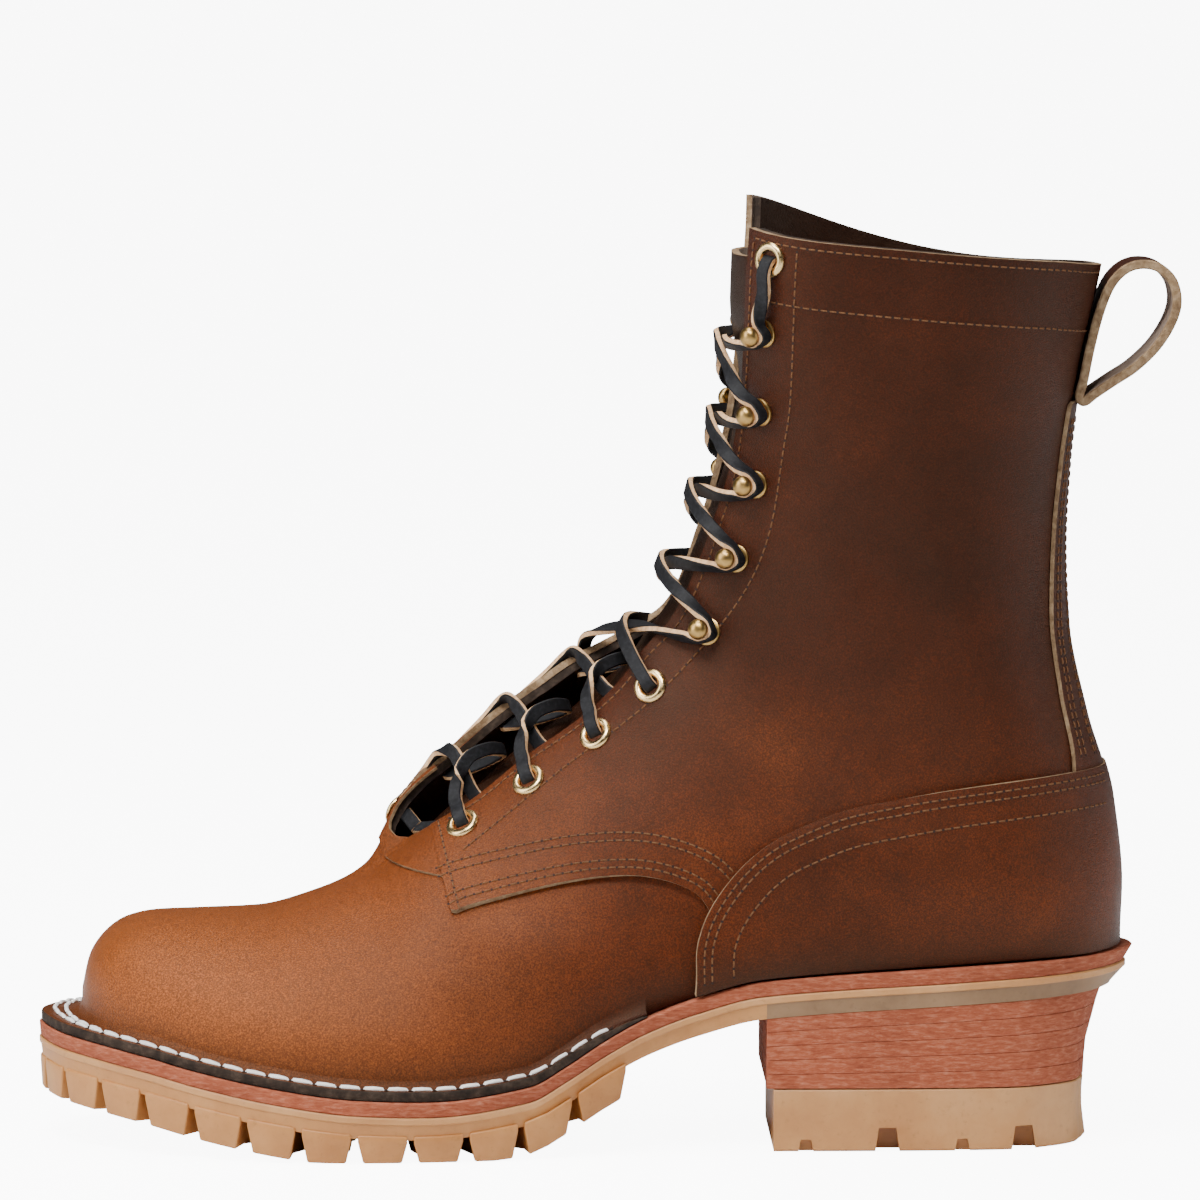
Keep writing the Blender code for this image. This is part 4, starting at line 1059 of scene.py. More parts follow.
def stack_mesh(name, rings, finishes, bands=None):
    """Close a stack of equal rings, from the top down, and fill its top and bottom."""
    count = len(rings[0])
    faces, kinds = [], []
    for level in range(len(rings) - 1):
        for i in range(count):
            j = (i + 1) % count
            faces.append((level * count + i, level * count + j,
                          (level + 1) * count + j, (level + 1) * count + i))
            kinds.append(bands[level] if bands else 0)
    for start, kind in ((0, 0), ((len(rings) - 1) * count, bands[-1] if bands else 0)):
        for i in range(count // 2 - 1 + count % 2):
            face = (start + i, start + i + 1, start + count - 2 - i, start + count - 1 - i)
            face = tuple(dict.fromkeys(face))
            if len(face) > 2:
                faces.append(face)
                kinds.append(kind)
    made = new_object(name, np.vstack(rings), faces)
    for finish in finishes:
        made.data.materials.append(finish)
    made.data.polygons.foreach_set("material_index", kinds)
    work = bmesh.new()
    work.from_mesh(made.data)
    bmesh.ops.recalc_face_normals(work, faces=work.faces)
    work.to_mesh(made.data)
    work.free()
    return made


def ready(piece, nodes=(), angle=40):
    """Shade a finished piece, let it ride, and hide the solids it stands for."""
    only(piece)
    bpy.ops.object.shade_smooth_by_angle(angle=math.radians(angle))
    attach(piece, "root")
    if nodes:
        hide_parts(*nodes)
    return piece


def under(drop):
    return lambda x: seat(x) - drop


def heel_taper(z):
    return float(smooth(HEEL_CURVE, 1, z / HEEL_SEAT)) * SOLE_LENGTH


print("outline of the sole:", len(PLAN), "points")

# %% [markdown]
# ## Midsole and outsole plate
# Flat layers with the sole's own outline. Each is a stack of that outline at a few heights, a
# little smaller at the top and bottom, which breaks its edges as a rasp does.

# %% Midsole and the plate of the outsole
low = HEEL_SEAT - MIDSOLE
midsole = stack_mesh("midsole_leather", [
    raised(from_toe(sole_plan(2.0 * MM)), under(0.0)),
    raised(from_toe(sole_plan(0.5 * MM)), under(0.0)),
    raised(from_toe(sole_plan(0.0)), under(0.5 * MM)),
    raised(from_toe(sole_plan(0.0, heel_taper(low))), under(MIDSOLE - 0.4 * MM)),
    raised(from_toe(sole_plan(0.4 * MM, heel_taper(low))), under(MIDSOLE)),
    raised(from_toe(sole_plan(3.0 * MM, heel_taper(low))), under(MIDSOLE))], (MIDSOLE_EDGE,))
ready(midsole, ("midsole",))

plate_top = MIDSOLE + 0.1 * MM
plate_low = MIDSOLE + OUTSOLE
rim = 2.1 * MM
taper_top = heel_taper(HEEL_SEAT - plate_top)
taper_low = heel_taper(HEEL_SEAT - plate_low)
outsole = stack_mesh("outsole_plate", [
    raised(from_toe(sole_plan(3.0 * MM, taper_top)), under(plate_top)),
    raised(from_toe(sole_plan(0.1 * MM, taper_top)), under(plate_top)),
    raised(from_toe(sole_plan(-0.3 * MM, taper_top)), under(plate_top + 0.4 * MM)),
    raised(from_toe(sole_plan(-0.3 * MM, taper_top)), under(plate_top + rim - 0.3 * MM)),
    raised(from_toe(sole_plan(0.1 * MM, taper_top)), under(plate_top + rim)),
    raised(from_toe(sole_plan(0.2 * MM, taper_low)), under(plate_low - 0.3 * MM)),
    raised(from_toe(sole_plan(0.25 * MM, taper_low)), under(plate_low)),
    raised(from_toe(sole_plan(4.0 * MM, taper_low)), under(plate_low))],
    (RUBBER, RUBBER_PALE, RUBBER_OLIVE), (1, 1, 1, 1, 0, 0, 0))
for face in outsole.data.polygons:
    if face.material_index == 0 and face.center.x > BREAST_X:
        face.material_index = 2
ready(outsole, ("outsole",))
print("midsole and outsole:", len(midsole.data.polygons), len(outsole.data.polygons))

# %% [markdown]
# ## Lugs
# Blocks stand round the forefoot's edge, with crosses between them. Each is an outline at its root
# and a smaller one at its foot, joined by walls and bevelled. A row of scaled cubes would be
# quicker, but it would not follow the edge of the sole.

# %% Lugs of the tread
LUG_PITCH = 16 * MM
LUG_GAP = 1.7 * MM
LUG_GAP_FOOT = 4.8 * MM
LUG_LENGTH = 25 * MM
LUG_WAIST = 0.68
CROSS_FOOT = 0.80
CROSS_SPAN = 15 * MM
CROSS_ARM = 4.2 * MM
CROSS_PITCH = 22 * MM


def tread(x):
    return max(0.0, float(seat(x)) - SOLE_DEPTH)


def edge_line():
    """The edge of the forefoot with the way in, and how far along each point is."""
    edge = sole_plan(0.5 * MM)
    edge = edge[edge[:, 0] < SOLE_BACK - 0.462 * SOLE_LENGTH]
    along = np.gradient(edge, axis=0)
    inward = np.stack([along[:, 1], -along[:, 0]], axis=1)
    inward /= np.linalg.norm(inward, axis=1, keepdims=True)
    gone = np.concatenate([[0.0], np.cumsum(np.linalg.norm(np.diff(edge, axis=0), axis=1))])
    return edge, inward, gone


EDGE_LINE = edge_line()


def edge_place(distance, depth):
    edge, inward, gone = EDGE_LINE
    x, y = (np.interp(distance, gone, edge[:, k]) for k in (0, 1))
    u, v = (np.interp(distance, gone, inward[:, k]) for k in (0, 1))
    return np.array((x + u * depth, y + v * depth))


def lug_outline(middle, half, outer, inner):
    """A lug seen from below: straight at the sole's edge, with a waist half way in."""
    waist = half * LUG_WAIST
    return np.array([edge_place(middle - half, outer), edge_place(middle, outer),
                     edge_place(middle + half, outer),
                     edge_place(middle + waist, LUG_LENGTH * 0.5),
                     edge_place(middle + half, inner), edge_place(middle - half, inner),
                     edge_place(middle - waist, LUG_LENGTH * 0.5)])


def lug_outlines():
    """Outlines of each lug at its root and at its foot."""
    count = round(EDGE_LINE[2][-1] / LUG_PITCH)
    pitch = EDGE_LINE[2][-1] / count
    outlines = []
    for number in range(count):
        middle = (number + 0.5) * pitch
        outlines.append((lug_outline(middle, (pitch - LUG_GAP) / 2, -0.25 * MM, LUG_LENGTH),
                         lug_outline(middle, (pitch - LUG_GAP_FOOT) / 2, 0.2 * MM,
                                     LUG_LENGTH - 2 * MM)))
    arm, reach = CROSS_ARM / 2, CROSS_SPAN / 2
    shape = np.array(((arm, arm), (arm, reach), (-arm, reach), (-arm, arm), (-reach, arm),
                      (-reach, -arm), (-arm, -arm), (-arm, -reach), (arm, -reach), (arm, -arm),
                      (reach, -arm), (reach, arm)))
    for number in range(5):
        x = SOLE_BACK - 0.86 * SOLE_LENGTH + number * CROSS_PITCH
        side = PLAN[np.abs(PLAN[:, 0] - x) < 2 * MM][:, 1]
        turn = math.radians(45 if number % 2 else 20)
        spin = np.array(((math.cos(turn), math.sin(turn)), (-math.sin(turn), math.cos(turn))))
        middle = np.array((x, (side.min() + side.max()) / 2 + (6 if number % 2 else -6) * MM))
        outlines.append((shape @ spin + middle, shape @ spin * CROSS_FOOT + middle))
    return outlines


def make_lugs():
    work = bmesh.new()
    for root, foot in lug_outlines():
        rings = []
        for outline, height in ((root, lambda x: float(seat(x)) - plate_low + 1.2 * MM),
                                (root, lambda x: float(seat(x)) - plate_low - 0.8 * MM),
                                (foot, tread)):
            rings.append([work.verts.new((x, y, height(x))) for x, y in outline])
        count = len(root)
        for upper, lower in zip(rings, rings[1:]):
            for i in range(count):
                work.faces.new((upper[i], upper[(i + 1) % count], lower[(i + 1) % count], lower[i]))
        work.faces.new(rings[0][::-1])
        work.faces.new(rings[-1])
    bmesh.ops.recalc_face_normals(work, faces=work.faces)
    mesh = bpy.data.meshes.new("lugs")
    work.to_mesh(mesh)
    work.free()
    lugs = bpy.data.objects.new("lugs", mesh)
    bpy.context.scene.collection.objects.link(lugs)
    mesh.materials.append(RUBBER)
    soften = lugs.modifiers.new("soften", "BEVEL")
    soften.width = 0.6 * MM
    soften.segments = 3
    soften.limit_method = "ANGLE"
    soften.angle_limit = math.radians(35)
    apply_all(lugs)
    return ready(lugs)


lugs = make_lugs()
print("lugs:", len(lugs.data.polygons), "faces")

# %% [markdown]
# ## Heel lifts
# Layers of leather, nailed up and then trimmed together. They are stacked outlines that taper to
# the floor, each with a fine dip at its seam.

# %% Heel lifts
HEEL_LIFTS = 5


def lift_level(x, share):
    bottom = TOP_LIFT + GAP
    return bottom + (seat(x) - plate_low - bottom) * share


def make_lift(number):
    rings = []
    seam = 0.008
    for share, inset in ((1 - seam, 2.0), (1 - seam, 0.16), (0.96, 0.0), (0.04, 0.0),
                         (seam, 0.16), (seam, 2.0)):
        whole = (number + share) / HEEL_LIFTS
        taper = heel_taper(float(lift_level(0.0, whole)))
        outline = heel_part(sole_plan(inset * MM, taper), BREAST_X + min(inset, 0.3) * MM)
        rings.append(raised(outline, lambda x, whole=whole: lift_level(x, whole)))
    lift = stack_mesh(f"leather_lift_{number + 1}", rings, (MIDSOLE_EDGE,))
    return ready(lift, (f"heel_lift_{number + 1}",))


lifts = [make_lift(number) for number in range(HEEL_LIFTS)]
print("lifts:", len(lifts))

# %% [markdown]
# ## Rubber top lift
# The bottom layer that wears. Its notches are cut with a tapered block and a Boolean, as a cutter
# would do it.

# %% Rubber top lift with its side notches
HEEL_NOTCHES = ((0.12, 5.5, 3.5, 2.5), (0.37, 9.0, 6.8, 7.0), (0.60, 5.5, 3.5, 2.5),
                (0.79, 9.0, 6.8, 7.0))


def make_top_lift():
    rings = []
    for z, inset in ((TOP_LIFT, 2.0), (TOP_LIFT, 0.3), (TOP_LIFT - 0.4 * MM, 0.0),
                     (0.75 * TOP_LIFT, 0.0), (0.5 * TOP_LIFT, 0.0), (0.25 * TOP_LIFT, 0.0),
                     (0.8 * MM, 0.0), (0.0, 0.8), (0.0, 3.0)):
        outline = heel_part(sole_plan(inset * MM, heel_taper(z)), BREAST_X + 2 * MM)
        rings.append(raised(outline, lambda x, z=z: np.full_like(x, z)))
    lift = stack_mesh("rubber_top_lift", rings, (RUBBER_PALE, RUBBER))
    plan = sole_plan(0.0, heel_taper(0.0))
    back = plan[:, 0].max()
    for share, width, height, depth in HEEL_NOTCHES:
        x = BREAST_X + share * (back - BREAST_X)
        near = plan[np.abs(plan[:, 0] - x) < 2 * MM][:, 1]
        for side, y in ((-1, near.min()), (1, near.max())):
            only(lift)
            bpy.ops.mesh.primitive_cube_add(size=1.0, location=(x, y, 0.0))
            cutter = bpy.context.object
            cutter.scale = (width * MM, 2 * depth * MM, 2 * height * MM)
            for corner in cutter.data.vertices:
                if corner.co.z > 0.0:
                    corner.co.x *= 0.55
            only(lift)
            cut = lift.modifiers.new("notch", "BOOLEAN")
            cut.operation = "DIFFERENCE"
            cut.solver = "EXACT"
            cut.object = cutter
            bpy.ops.object.modifier_apply(modifier=cut.name)
            bpy.data.objects.remove(cutter, do_unlink=True)
    return ready(lift, ("heel_top_lift",), 35)


top_lift = make_top_lift()
print("top lift:", len(top_lift.data.polygons))

# %% [markdown]
# ## Flange
# On a stitchdown boot the vamp turns outwards over the midsole. A section is drawn at every point
# of the sole's edge, from the vamp over the rim and back under, and the sections are joined.

# %% Flange: the vamp turned out and stitched down
FLANGE_END = UPPER_BACK - 0.455 * UPPER_LENGTH


def flange_rows():
    """Sections across the flange, from the vamp out over the edge and back under."""
    plan = sole_plan(0.6 * MM)
    along = np.roll(plan, -1, axis=0) - np.roll(plan, 1, axis=0)
    rows = []
    for i in range(len(plan)):
        x, y = plan[i]
        if x > FLANGE_END:
            continue
        inward = Vector((along[i][1], -along[i][0], 0.0)).normalized()
        base = float(seat(x)) + 0.2 * MM
        thick = WELT * min(1.0, 0.25 + 0.75 * (FLANGE_END - x) / (18 * MM))
        edge = Vector((x, y, base))
        feet = []
        for rise in (7.0 * MM, 4.6 * MM):
            start = edge + Vector((0.0, 0.0, rise)) - inward * 0.02
            spot = ON_VAMP.ray_cast(start, inward)[0]
            if spot is None:
                break
            feet.append(spot)
        if len(feet) < 2:
            continue
        high, foot = feet
        up = Vector((0.0, 0.0, 1.0))
        room = (edge - foot).dot(-inward)
        floor_foot = Vector((foot.x, foot.y, base))
        row = [high - inward * 0.05 * MM + inward * 0.6 * MM, foot - inward * 0.35 * MM,
               floor_foot - inward * 0.9 * MM + up * (thick + 0.55 * MM),
               floor_foot - inward * 2.2 * MM + up * (thick + 0.05 * MM),
               floor_foot - inward * max(room * 0.6, 2.6 * MM) + up * thick,
               edge + inward * 0.9 * MM + up * thick,
               edge + inward * 0.25 * MM + up * (thick - 0.25 * MM),
               edge + up * (thick - 0.8 * MM), edge + up * 0.25 * MM,
               edge + inward * 0.4 * MM, floor_foot + inward * 1.0 * MM]
        rows.append(row)
    return rows


def make_flange():
    rows = flange_rows()
    across = len(rows[0])
    faces, kinds = [], []
    for i in range(len(rows) - 1):
        for j in range(across - 1):
            faces.append((i * across + j, i * across + j + 1,
                          (i + 1) * across + j + 1, (i + 1) * across + j))
            kinds.append(1 if 6 <= j <= 8 else 0)
    made = new_object("flange", [p for row in rows for p in row], faces)
    for finish in (LEATHER, EDGE_DARK):
        made.data.materials.append(finish)
    made.data.polygons.foreach_set("material_index", kinds)
    work = bmesh.new()
    work.from_mesh(made.data)
    bmesh.ops.recalc_face_normals(work, faces=work.faces)
    work.to_mesh(made.data)
    work.free()
    shade_near_sole(made, 22 * MM)
    return ready(made, ("welt",), 60), rows


flange, FLANGE_ROWS = make_flange()
print("flange:", len(FLANGE_ROWS), "sections")

# %% [markdown]
# ## Eyelets and speed hooks
# A pressed eyelet is a rolled ring, and a speed hook is a ball on a short neck over a round base.
# Both are turned shapes, so each is one profile spun round the way out of the leather.

# %% Eyelets and hooks
LACING = (
    (0.348, "eyelet"), (0.396, "eyelet"), (0.447, "eyelet"), (0.500, "eyelet"), (0.560, "hook"),
    (0.640, "hook"), (0.721, "hook"), (0.800, "hook"), (0.886, "hook"), (0.966, "eyelet"),
)
FACING_SETBACK = 8.5 * MM
EYELET_PROFILE = ((2.60, -3.3), (2.55, 0.15), (2.72, 0.70), (3.20, 1.12), (3.85, 1.22),
                  (4.50, 1.02), (4.95, 0.56), (5.08, 0.05), (4.95, -0.25), (3.00, -0.25),
                  (2.95, -3.3))
HOOK_PROFILE = ((0.0, -0.3), (3.90, -0.3), (4.05, 0.15), (3.95, 0.50), (3.50, 0.75), (2.20, 0.85),
                (1.50, 1.10), (1.25, 1.70), (1.20, 4.60), (1.50, 5.00), (2.30, 5.25), (2.80, 5.75),
                (2.98, 6.50), (2.85, 7.30), (2.35, 8.05), (1.50, 8.55), (0.70, 8.75), (0.0, 8.80))


def facing(side, height, setback):
    middle = float(smooth(THROAT, 1, height)) * UPPER_WIDTH
    half = float(smooth(THROAT, 2, height)) * UPPER_WIDTH
    return middle + side * (half + setback)


def place_on_facing(side, row):
    height, kind = LACING[row]
    y, z = facing(side, height, FACING_SETBACK), height * COLLAR_HEIGHT
    spot, _ = from_front(ON_QUARTER, y, z)
    reach = 4 * MM
    around = [from_front(ON_QUARTER, y + u * reach, z + v * reach)[0]
              for u, v in ((1, 0), (0, 1), (-1, 0), (0, -1))]
    out = (around[2] - around[0]).cross(around[1] - around[3]).normalized()
    if out.x > 0.0:
        out = -out
    return spot, out


SPOTS = {(side, row): place_on_facing(side, row) for side in (-1, 1) for row in range(len(LACING))}


def turned(name, profile, spots, finish, segments=36, closed=False):
    """One mesh of the same turned shape at many places."""
    points, faces = [], []
    for spot, out in spots:
        turn = out.to_track_quat("Z", "Y").to_matrix()
        base = len(points)
        for radius, height in profile:
            for step in range(segments):
                angle = 2 * math.pi * step / segments
                local = Vector((radius * MM * math.cos(angle), radius * MM * math.sin(angle),
                                height * MM))
                points.append(spot + turn @ local)
        rows = len(profile)
        for i in range(rows if closed else rows - 1):
            for j in range(segments):
                k, n = (j + 1) % segments, (i + 1) % rows
                faces.append((base + i * segments + j, base + i * segments + k,
                              base + n * segments + k, base + n * segments + j))
    made = new_object(name, points, faces)
    made.data.materials.append(finish)
    work = bmesh.new()
    work.from_mesh(made.data)
    bmesh.ops.remove_doubles(work, verts=work.verts, dist=0.005 * MM)
    bmesh.ops.recalc_face_normals(work, faces=work.faces)
    work.to_mesh(made.data)
    work.free()
    return made


def hardware_nodes(kind):
    count = sum(1 for _, what in LACING if what == kind)
    return [f"{kind}_{word}_{n + 1}" for word in ("lateral", "medial") for n in range(count)]


eyelets = turned("eyelets", EYELET_PROFILE,
                 [SPOTS[s, r] for s in (-1, 1) for r, (_, k) in enumerate(LACING) if k == "eyelet"],
                 GILT, closed=True)
ready(eyelets, hardware_nodes("eyelet"), 60)
hooks = turned("hooks", HOOK_PROFILE,
               [SPOTS[s, r] for s in (-1, 1) for r, (_, k) in enumerate(LACING) if k == "hook"],
               BRASS)
ready(hooks, hardware_nodes("hook"), 40)
print("hardware:", len(SPOTS), "places")

# %% [markdown]
# ## The lace
# The lace is a flat strip of leather, black on its faces and pale where it was cut. It comes out
# of each eyelet, crosses the throat and dives under the other facing. Higher up it goes round the
# back of each hook, standing on its edge, and its ends stop inside the top eyelets.

# %% Lace
LACE_WIDTH = 3.9 * MM
LACE_THICKNESS = 2.0 * MM


def over_throat(side_share, height, lift):
    """A place over the throat: -1 and 1 are its two edges."""
    middle = float(smooth(THROAT, 1, height)) * UPPER_WIDTH
    half = float(smooth(THROAT, 2, height)) * UPPER_WIDTH
    spot, out = from_front(ON_QUARTER, middle + side_share * half, height * COLLAR_HEIGHT)
    return spot + out * lift, out


def lacing_ways(side, row):
    """At a piece of hardware: its place, way out, way up the facing and way off the throat."""
    spot, out = SPOTS[side, row]
    other = SPOTS[side, row + 1 if row + 1 < len(LACING) else row - 1][0]
    up = other - spot if row + 1 < len(LACING) else spot - other
    up = (up - out * up.dot(out)).normalized()
    away = out.cross(up) * -1.0
    if away.y * side < 0.0:
        away = -away
    return spot, out, up, away


def facing_edge(side, x, height):
    """The place on a facing's edge at a place along the boot, and the way out there."""
    for _ in range(4):
        y = facing(side, height, 0.0)
        place, out = hit(ON_QUARTER, (x, y, 0.4), (0.0, 0.0, -1.0))
        height = place.z / COLLAR_HEIGHT
    return place, out


def eyelet_strand(side, row, add):
    """From an eyelet up over the facing's edge, and down under the other facing."""
    spot, out, up, away = lacing_ways(side, row)
    near = SPOTS[-1, row][0]
    height = LACING[row][0] + 0.05
    edge, edge_out = facing_edge(side, near.x - (1.0 * MM if side < 0 else 6.5 * MM), height)
    wide = out.cross((edge - spot).normalized())
    add(spot - out * 3.0 * MM, wide)
    add(spot + out * 0.9 * MM + (edge - spot).normalized() * 0.6 * MM, wide)
    lift = 2.1 * MM if side < 0 else 0.9 * MM
    add(spot + (edge - spot) * 0.32 + out * lift, wide)
    add(spot + (edge - spot) * 0.72 + out * lift * 0.9, wide)
    add(edge + edge_out * lift, wide)
    if side < 0:
        wide = Vector((-0.3, 0.25, 1.0))
        add(near + Vector((2.0 * MM, -2.0 * MM - near.y, 18.0 * MM)), wide)
        add(near + Vector((7.0 * MM, 1.5 * MM - near.y, 19.8 * MM)), wide)
        add(near + Vector((11.5 * MM, 7.0 * MM - near.y, 19.0 * MM)), wide)
    else:
        wide = Vector((0.3, 0.0, 1.0))
        beyond, beyond_out = facing_edge(-1, near.x + 4.0 * MM, height)
        add(near + Vector((-3.0 * MM, 4.0 * MM - near.y, 19.0 * MM)), wide)
        add(beyond - beyond_out * 2.8 * MM + Vector((0.0, 1.0 * MM, 0.0)), wide)
    spot, out, up, away = lacing_ways(-side, row + 1)
    add(spot - out * 5.6 * MM - away * 2.5 * MM, up)


def last_eyelet_strand(side, add):
    """From the top one of the lower eyelets straight over the facing to the throat."""
    spot, out, up, away = lacing_ways(side, 3)
    height = LACING[3][0]
    rise = LACING[4][0] - height
    over, over_out = over_throat(0.9 * side, height + 0.55 * rise, 2.4 * MM)
    wide = out.cross((over - spot).normalized())
    add(spot - out * 3.0 * MM, wide)
    add(spot + out * 1.0 * MM, wide)
    add(spot + (over - spot) * 0.35 + out * 1.6 * MM, wide)
    add(over, wide)


def hook_strand(side, row, add):
    """Round the back of a hook, standing on edge, and off over the throat."""
    spot, out, up, away = lacing_ways(side, row)
    clear = 2.9 * MM
    add(spot + out * 3.0 * MM - up * clear * 1.3 - away * 4.0 * MM, out + up * 0.6)
    add(spot + out * 3.2 * MM - up * clear * 0.9 + away * 0.6 * MM, out)
    add(spot + out * 3.1 * MM + away * clear, out)
    add(spot + out * 3.2 * MM + up * clear * 0.9 + away * 0.6 * MM, out)
    if row < 8:
        add(spot + out * 3.4 * MM + up * clear * 1.5 - away * 4.0 * MM, out - up * 0.5)


def lace_route(first_side):
    """Marks of (place, way across the lace) from the bottom bar to the top eyelet."""
    marks = []

    def add(place, wide):
        marks.append((np.array(place), np.array(wide)))

    side = first_side
    spot, out, up, away = lacing_ways(side, 0)
    low = LACING[0][0] - 0.006
    add(over_throat(0.0, low, -4.0 * MM)[0], up)
    add(spot - out * 5.0 * MM - away * 4.0 * MM, up)
    for row in range(9):
        height, kind = LACING[row]
        rise = LACING[row + 1][0] - height
        if row == 3:
            last_eyelet_strand(side, add)
        elif kind == "eyelet":
            eyelet_strand(side, row, add)
        else:
            hook_strand(side, row, add)
        if row == 8:
            break
        if row >= 3:
            over = 3.0 * MM if side < 0 else 1.2 * MM
            ways = ((0.75 * side, 0.60, 2.6 * MM), (0.0, 0.80, over)) if row > 3 else (
                (0.15 * side, 0.90, over),)
            for share, part, lift in ways:
                place, way = over_throat(share, height + rise * part, lift)
                ahead = place - Vector(marks[-1][0])
                add(place, way.cross(ahead).normalized())
        side = -side
    spot, out, up, away = lacing_ways(side, 9)
    add(spot + out * 2.4 * MM - up * 9.0 * MM + away * 1.0 * MM, away)
    add(spot + out * 2.2 * MM - up * 3.0 * MM, away)
    add(spot + out * 1.0 * MM - up * 0.4 * MM, away)
    add(spot - out * 3.6 * MM, away)
    add(spot - out * 6.5 * MM - up * 6.0 * MM, away)
    add(spot - out * 6.0 * MM - up * 14.0 * MM, away)
    return marks


def ribbon(name, routes, finishes):
    """A flat strip with broken edges along each route of (place, way across)."""
    corner = 0.35 * MM
    wide, deep = LACE_WIDTH / 2, LACE_THICKNESS / 2
    shape = ((-wide, -deep + corner), (-wide + corner, -deep), (wide - corner, -deep),
             (wide, -deep + corner), (wide, deep - corner), (wide - corner, deep),
             (-wide + corner, deep), (-wide, deep - corner))
    points, faces, kinds, length = [], [], [], 0.0
    for marks in routes:
        ways = [marks[0][1]]
        for _, way in marks[1:]:
            ways.append(way if np.dot(way, ways[-1]) >= 0.0 else -way)
        line = flow([m[0] for m in marks], 9)
        across = flow(ways, 9)[:len(line)]
        share = np.linspace(0, len(marks) - 1, len(line))
        across = np.stack([np.interp(share, range(len(ways)), [w[k] for w in ways])
                           for k in range(3)], axis=1)
        tangent = np.gradient(line, axis=0)
        tangent /= np.linalg.norm(tangent, axis=1, keepdims=True)
        across -= tangent * np.sum(across * tangent, axis=1, keepdims=True)
        across /= np.linalg.norm(across, axis=1, keepdims=True)
        normal = np.cross(tangent, across)
        length += float(np.linalg.norm(np.diff(line, axis=0), axis=1).sum())
        base = len(points)
        for p, a, n in zip(line, across, normal):
            points += [p + a * u + n * v for u, v in shape]
        for i in range(len(line) - 1):
            for j in range(8):
                k = (j + 1) % 8
                faces.append((base + i * 8 + j, base + i * 8 + k,
                              base + (i + 1) * 8 + k, base + (i + 1) * 8 + j))
                kinds.append(1 if j in (3, 7) else 0)
        last = base + (len(line) - 1) * 8
        faces += [tuple(range(base, base + 8)), tuple(range(last + 7, last - 1, -1))]
        kinds += [1, 1]
    made = new_object(name, points, faces)
    for finish in finishes:
        made.data.materials.append(finish)
    made.data.polygons.foreach_set("material_index", kinds)
    work = bmesh.new()
    work.from_mesh(made.data)
    bmesh.ops.recalc_face_normals(work, faces=work.faces)
    work.to_mesh(made.data)
    work.free()
    return made, length


lace, lace_length = ribbon("lace", [lace_route(-1), lace_route(1)], (LACE, LACE_EDGE))
ready(lace, ["lace_bar"] + [f"lace_cross_{n + 1}" for n in range(9)], 40)
print("lace:", round(lace_length, 2), "m")

# %% [markdown]
# ## Pull loop
# A strap folded and sewn in at the back of the collar, to pull the boot on by. It is a flat section
# with broken corners, carried round a closed curve.

# %% Pull loop
PULL_LOOP = (
    (0.041, 0.806), (0.030, 0.815), (0.013, 0.828), (-0.007, 0.843), (-0.027, 0.865),
    (-0.041, 0.890), (-0.047, 0.913), (-0.043, 0.936), (-0.030, 0.951), (-0.013, 0.955),
    (0.003, 0.949), (0.0165, 0.932), (0.0270, 0.902), (0.0355, 0.864), (0.0415, 0.830),
    (0.0455, 0.812),
)
LOOP_WIDTH = 22 * MM
LOOP_THICKNESS = 2.7 * MM


def make_loop():
    middle = closed_curve([np.array((UPPER_BACK - a * UPPER_LENGTH, h * COLLAR_HEIGHT))
                           for a, h in PULL_LOOP], 12)
    along = np.roll(middle, -1, axis=0) - np.roll(middle, 1, axis=0)
    out = np.stack([along[:, 1], -along[:, 0]], axis=1)
    out /= np.linalg.norm(out, axis=1, keepdims=True)
    deep, wide, corner = LOOP_THICKNESS / 2, LOOP_WIDTH / 2, 0.45 * MM
    shape = ((deep, -wide + corner), (deep, wide - corner), (deep - corner, wide),
             (-deep + corner, wide), (-deep, wide - corner), (-deep, -wide + corner),
             (-deep + corner, -wide), (deep - corner, -wide))
    points, faces, kinds = [], [], []
    for p, o in zip(middle, out):
        points += [(p[0] + o[0] * u, v, p[1] + o[1] * u) for u, v in shape]
    count = len(middle)
    for i in range(count):
        n = (i + 1) % count
        for j in range(8):
            faces.append((i * 8 + j, i * 8 + (j + 1) % 8, n * 8 + (j + 1) % 8, n * 8 + j))
            kinds.append((0, 2, 2, 2, 1, 2, 2, 2)[j])
    loop = new_object("pull_strap", points, faces)
    for finish in (LEATHER_PLAIN, FLESH, EDGE):
        loop.data.materials.append(finish)
    loop.data.polygons.foreach_set("material_index", kinds)
    work = bmesh.new()
    work.from_mesh(loop.data)
    bmesh.ops.recalc_face_normals(work, faces=work.faces)
    work.to_mesh(loop.data)
    work.free()
    return ready(loop, ("pull_loop",), 40)


loop = make_loop()
print("pull loop:", len(loop.data.polygons))

# %% [markdown]
# ## Stitches
# Every seam is a row of short, plump stitches with a needle hole at each end, drawn as a flat dark
# disc of painted shade. A row is a line on the leather; each stitch dips into the leather at both
# ends.

# %% Stitches
def inset_line(line, distance, keep):
    """The same line in the side view, moved into the panel."""
    along = np.gradient(line, axis=0)
    normal = np.stack([-along[:, 1], along[:, 0]], axis=1)
    normal /= np.linalg.norm(normal, axis=1, keepdims=True)
    moved = line + normal * distance
    flat = np.column_stack([moved[:, 0], np.zeros(len(moved)), moved[:, 1]])
    if np.median(keep(flat)) < 0.0:
        moved = line - normal * distance
    return moved


def on_sides(tree, line):
    rows = []
    for side in (-1, 1):
        row = [from_side(tree, x, z, side) for x, z in line]
        rows.append([spot for spot in row if spot])
    return rows


